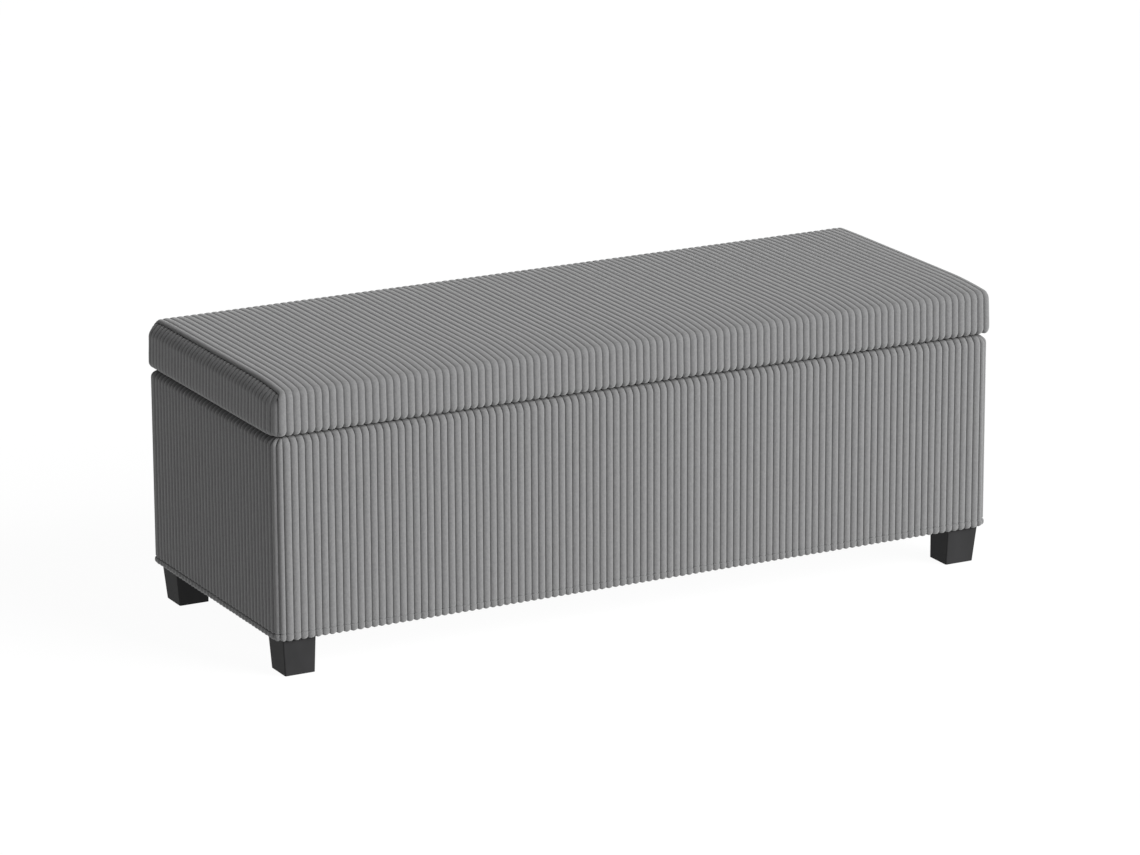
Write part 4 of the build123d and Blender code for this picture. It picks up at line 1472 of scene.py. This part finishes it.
@dataclass
class Linings:
    """The thin black cloth in the compartment, under the lid and under the box."""

    finish: Nonwoven = field(default_factory=Nonwoven)
    thickness: float = 0.5 * MM
    fold_round: float = 7 * MM  # radius of the bag's folds
    hem: float = 9 * MM  # width of the edge that is turned under
    crease: float = 0.8 * MM  # width of the crease beside it
    crease_depth: float = 0.12 * MM  # and its depth
    leg_gap: float = 0.6 * MM  # room between a leg and the dust cover
    ripple: float = 0.7 * MM  # height of the ripples on the bag's floor
    ripple_ways: tuple[float, float, float] = (41.0, 17.0, 3.0)  # how close together and how bent

    def lay(self, name: str, place: Vector, size: Vector) -> bpy.types.Object:
        """Lay one flat rectangle of cloth.

        Args:
            name: the cloth's name.
            place: its middle.
            size: its length and width, as the first two numbers.

        Returns:
            The cloth, with its only face turned up.
        """
        put_down_everything()
        bpy.ops.mesh.primitive_plane_add(size=1.0, location=place)
        cloth = bpy.context.object
        cloth.name = cloth.data.name = name
        cloth.scale = (size.x, size.y, 1.0)
        bpy.ops.object.transform_apply(location=True, rotation=True, scale=True)
        return cloth

    def compartment(self) -> bpy.types.Object:
        """The sewn bag that lines the box: a floor and four walls, open at the top.

        Returns:
            The bag.
        """
        low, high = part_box("compartment_lining")
        put_down_everything()
        size = high - low - Vector((2 * self.thickness, 2 * self.thickness, self.thickness))
        middle = (low + high) / 2 + Vector((0, 0, self.thickness / 2))
        bpy.ops.mesh.primitive_cube_add(size=1.0, location=middle, scale=size)
        bag = bpy.context.object
        bag.name = bag.data.name = "compartment_lining_cloth"
        bpy.ops.object.transform_apply(location=True, rotation=True, scale=True)
        select_faces(bag, face_centres(bag)[:, 2] > high.z - 1 * MM)
        bpy.ops.mesh.delete(type="FACE")
        bpy.ops.object.mode_set(mode="OBJECT")
        apply_modifier(
            bag, "BEVEL", width=self.fold_round, segments=3, limit_method="ANGLE", affect="EDGES"
        )
        bag.data.flip_normals()
        subdivide(bag, 10)
        points = points_of(bag)
        floor = ease((low.z + 3 * MM - points[:, 2]) / (2 * MM))
        along, over, bend = self.ripple_ways
        wave = np.sin(points[:, 0] * along + bend * np.sin(points[:, 1] * over))
        points[:, 2] += self.ripple * floor * (1 + wave) / 2
        move_points(bag, points)
        apply_modifier(bag, "SOLIDIFY", thickness=self.thickness, offset=-1.0)
        smooth(bag, 50.0)
        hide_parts("compartment_lining")
        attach(bag, "base")
        return bag

    def under_lid(self) -> bpy.types.Object:
        """The cloth stapled under the lid, its edges turned under.

        Returns:
            The cloth.
        """
        low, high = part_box("lid_lining")
        middle = (low + high) / 2
        middle.z = high.z
        sheet = self.lay("lid_lining_cloth", middle, high - low)
        select_faces(sheet, every_face(sheet))
        bpy.ops.mesh.inset(thickness=self.hem)
        bpy.ops.mesh.inset(thickness=self.crease)
        bpy.ops.transform.translate(value=(0.0, 0.0, self.crease_depth))
        bpy.ops.object.mode_set(mode="OBJECT")
        subdivide(sheet, 6)
        sheet.data.flip_normals()
        apply_modifier(sheet, "SOLIDIFY", thickness=self.thickness, offset=1.0)
        smooth(sheet, 30.0)
        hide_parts("lid_lining")
        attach(sheet, "lid")
        return sheet

    def under_box(self) -> bpy.types.Object:
        """The dust cover under the box, cut away round the legs.

        Returns:
            The cloth.
        """
        low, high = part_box("dust_cover")
        leg_low, leg_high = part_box("leg_front_right")
        notch_x, notch_y = leg_low.x - self.leg_gap, -leg_high.y - self.leg_gap
        sheet = self.lay("dust_cover_cloth", Vector((0, 0, high.z)), high - low)
        for axis, place in ((0, notch_x), (0, -notch_x), (1, notch_y), (1, -notch_y)):
            normal = [0.0, 0.0, 0.0]
            normal[axis] = 1.0
            middle = [0.0, 0.0, high.z]
            middle[axis] = place
            select_faces(sheet, every_face(sheet))
            bpy.ops.mesh.bisect(plane_co=middle, plane_no=normal)
            bpy.ops.object.mode_set(mode="OBJECT")
        centres = np.abs(face_centres(sheet))
        select_faces(sheet, (centres[:, 0] > notch_x) & (centres[:, 1] > notch_y))
        bpy.ops.mesh.delete(type="FACE")
        bpy.ops.object.mode_set(mode="OBJECT")
        subdivide(sheet, 5)
        sheet.data.flip_normals()
        apply_modifier(sheet, "SOLIDIFY", thickness=self.thickness, offset=1.0)
        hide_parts("dust_cover")
        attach(sheet, "base")
        return sheet

    def build(self) -> list[bpy.types.Object]:
        """Model the three linings.

        Returns:
            The cloths.
        """
        cloth = self.finish.make()
        pieces = [self.compartment(), self.under_lid(), self.under_box()]
        for piece in pieces:
            dress(piece, cloth)
        return pieces


# ---- What the CAD already shapes ----


@dataclass
class Hardware:
    """Finishes for the boards, legs, hinges, stays and fasteners of the frame."""

    leg: Moulded = Moulded("leg_plastic", (0.0215, 0.0215, 0.022), specular=0.04)
    glide: Moulded = Moulded("glide_plastic", (0.42, 0.42, 0.40))
    bumper: Moulded = Moulded("bumper_rubber", (0.02, 0.02, 0.02), (0.6, 0.8))
    sheet: Steel = Steel("hardware_steel", (0.55, 0.55, 0.57))
    plated: Steel = Steel("zinc_steel", (0.66, 0.66, 0.67))
    wood: Fibreboard = Fibreboard()

    def finish_of(self, slot: str) -> str:
        """The finish for one of the record's material slots.

        Args:
            slot: the slot's name.

        Returns:
            The name of the finish's field, or nothing for a slot that the cloths take over.
        """
        return {
            "fibreboard": "wood",
            "leg_plastic": "leg",
            "glide_plastic": "glide",
            "bumper_rubber": "bumper",
            "hardware_steel": "sheet",
            "zinc_steel": "plated",
        }.get(slot, "")

    def build(self) -> int:
        """Give every kept node its finish.

        Returns:
            How many nodes got one.
        """
        made: dict[str, bpy.types.Material] = {}
        dressed = 0
        for part in frame["record"]["subparts"]:
            kind = self.finish_of(part["material_slot"])
            if not kind:
                continue
            if kind not in made:
                made[kind] = getattr(self, kind).make()
            dress(frame["nodes"][part["node"]], made[kind])
            dressed += 1
        return dressed


# ---- Studio ----


@dataclass
class Studio:
    """A plain pale floor, soft light from the right front, and the camera."""

    azimuth: float = -27.789
    elevation: float = 16.099
    roll: float = -0.233
    distance: float = 7.4668
    aim: tuple[float, float, float] = (-0.0050, 0.0, 0.2228)
    lens: float = 169.29
    sensor: float = 36.0
    far_clip: float = 100.0
    key_way: tuple[float, float, float] = (0.52, -0.715, 0.46)
    key_distance: float = 20.0
    key_size: float = 13.0
    key_power: float = 9350.0
    key_aim: tuple[float, float, float] = (0.0, 0.0, 0.2)
    sky: float = 0.19
    floor_glow: float = 0.96
    floor_size: float = 60.0

    def camera(self) -> None:
        """Stand the camera where the bench is seen from its left front, a little from above."""
        turn, rise, roll = (math.radians(a) for a in (self.azimuth, self.elevation, self.roll))
        back = Vector(
            (math.sin(turn) * math.cos(rise), -math.cos(turn) * math.cos(rise), math.sin(rise))
        )
        level = Vector((0, 0, 1)).cross(back).normalized()
        upright = back.cross(level)
        right = math.cos(roll) * level + math.sin(roll) * upright
        up = -math.sin(roll) * level + math.cos(roll) * upright
        data = bpy.data.cameras.new("camera")
        data.lens = self.lens
        data.sensor_width = self.sensor
        data.clip_end = self.far_clip
        camera = bpy.data.objects.new("camera", data)
        bpy.context.scene.collection.objects.link(camera)
        place = Vector(self.aim) + back * self.distance
        facing = Matrix((right, up, back)).transposed().to_4x4()
        camera.matrix_world = Matrix.Translation(place) @ facing
        bpy.context.scene.camera = camera

    def light(self) -> None:
        """Hang the large square soft light that looks at the bench."""
        data = bpy.data.lights.new("key", "AREA")
        data.energy = self.key_power
        data.size = self.key_size
        lamp = bpy.data.objects.new("key", data)
        bpy.context.scene.collection.objects.link(lamp)
        direction = Vector(self.key_way).normalized()
        lamp.location = Vector(self.key_aim) + direction * self.key_distance
        lamp.rotation_euler = direction.to_track_quat("Z", "Y").to_euler()

    def floor(self) -> None:
        """Lay the pale floor, which glows a little so that shadows on it stay faint."""
        put_down_everything()
        bpy.ops.mesh.primitive_plane_add(size=self.floor_size)
        floor = bpy.context.object
        floor.name = floor.data.name = "floor"
        board = Board("pale_floor")
        board.set(Base_Color=(0.05, 0.05, 0.05, 1.0), Roughness=0.9, Specular_IOR_Level=0.0)
        board.set(Emission_Color=(1.0, 1.0, 1.0, 1.0), Emission_Strength=self.floor_glow)
        dress(floor, board.material)

    def build(self) -> None:
        """Set up the camera, the light, the floor and the surroundings."""
        self.camera()
        self.light()
        self.floor()
        world = bpy.data.worlds.new("studio")
        world.use_nodes = True
        world.node_tree.nodes["Background"].inputs["Strength"].default_value = self.sky
        world.node_tree.nodes["Background"].inputs["Color"].default_value = (1.0, 1.0, 1.0, 1.0)
        bpy.context.scene.world = world
        bpy.context.scene.view_settings.view_transform = "Standard"


def main() -> None:
    """Build every sub-assembly of the bench in order."""
    logging.basicConfig(level=logging.INFO, format="%(name)s: %(message)s")
    Studio().build()
    log.info("%d frame nodes dressed", Hardware().build())
    for assembly in (BaseUpholstery(), LidUpholstery(), Linings()):
        for piece in assembly.build():
            faces = len(piece.data.polygons)
            log.info("%s: %s, %d faces", type(assembly).__name__, piece.name, faces)


if __name__ == "__main__":
    main()
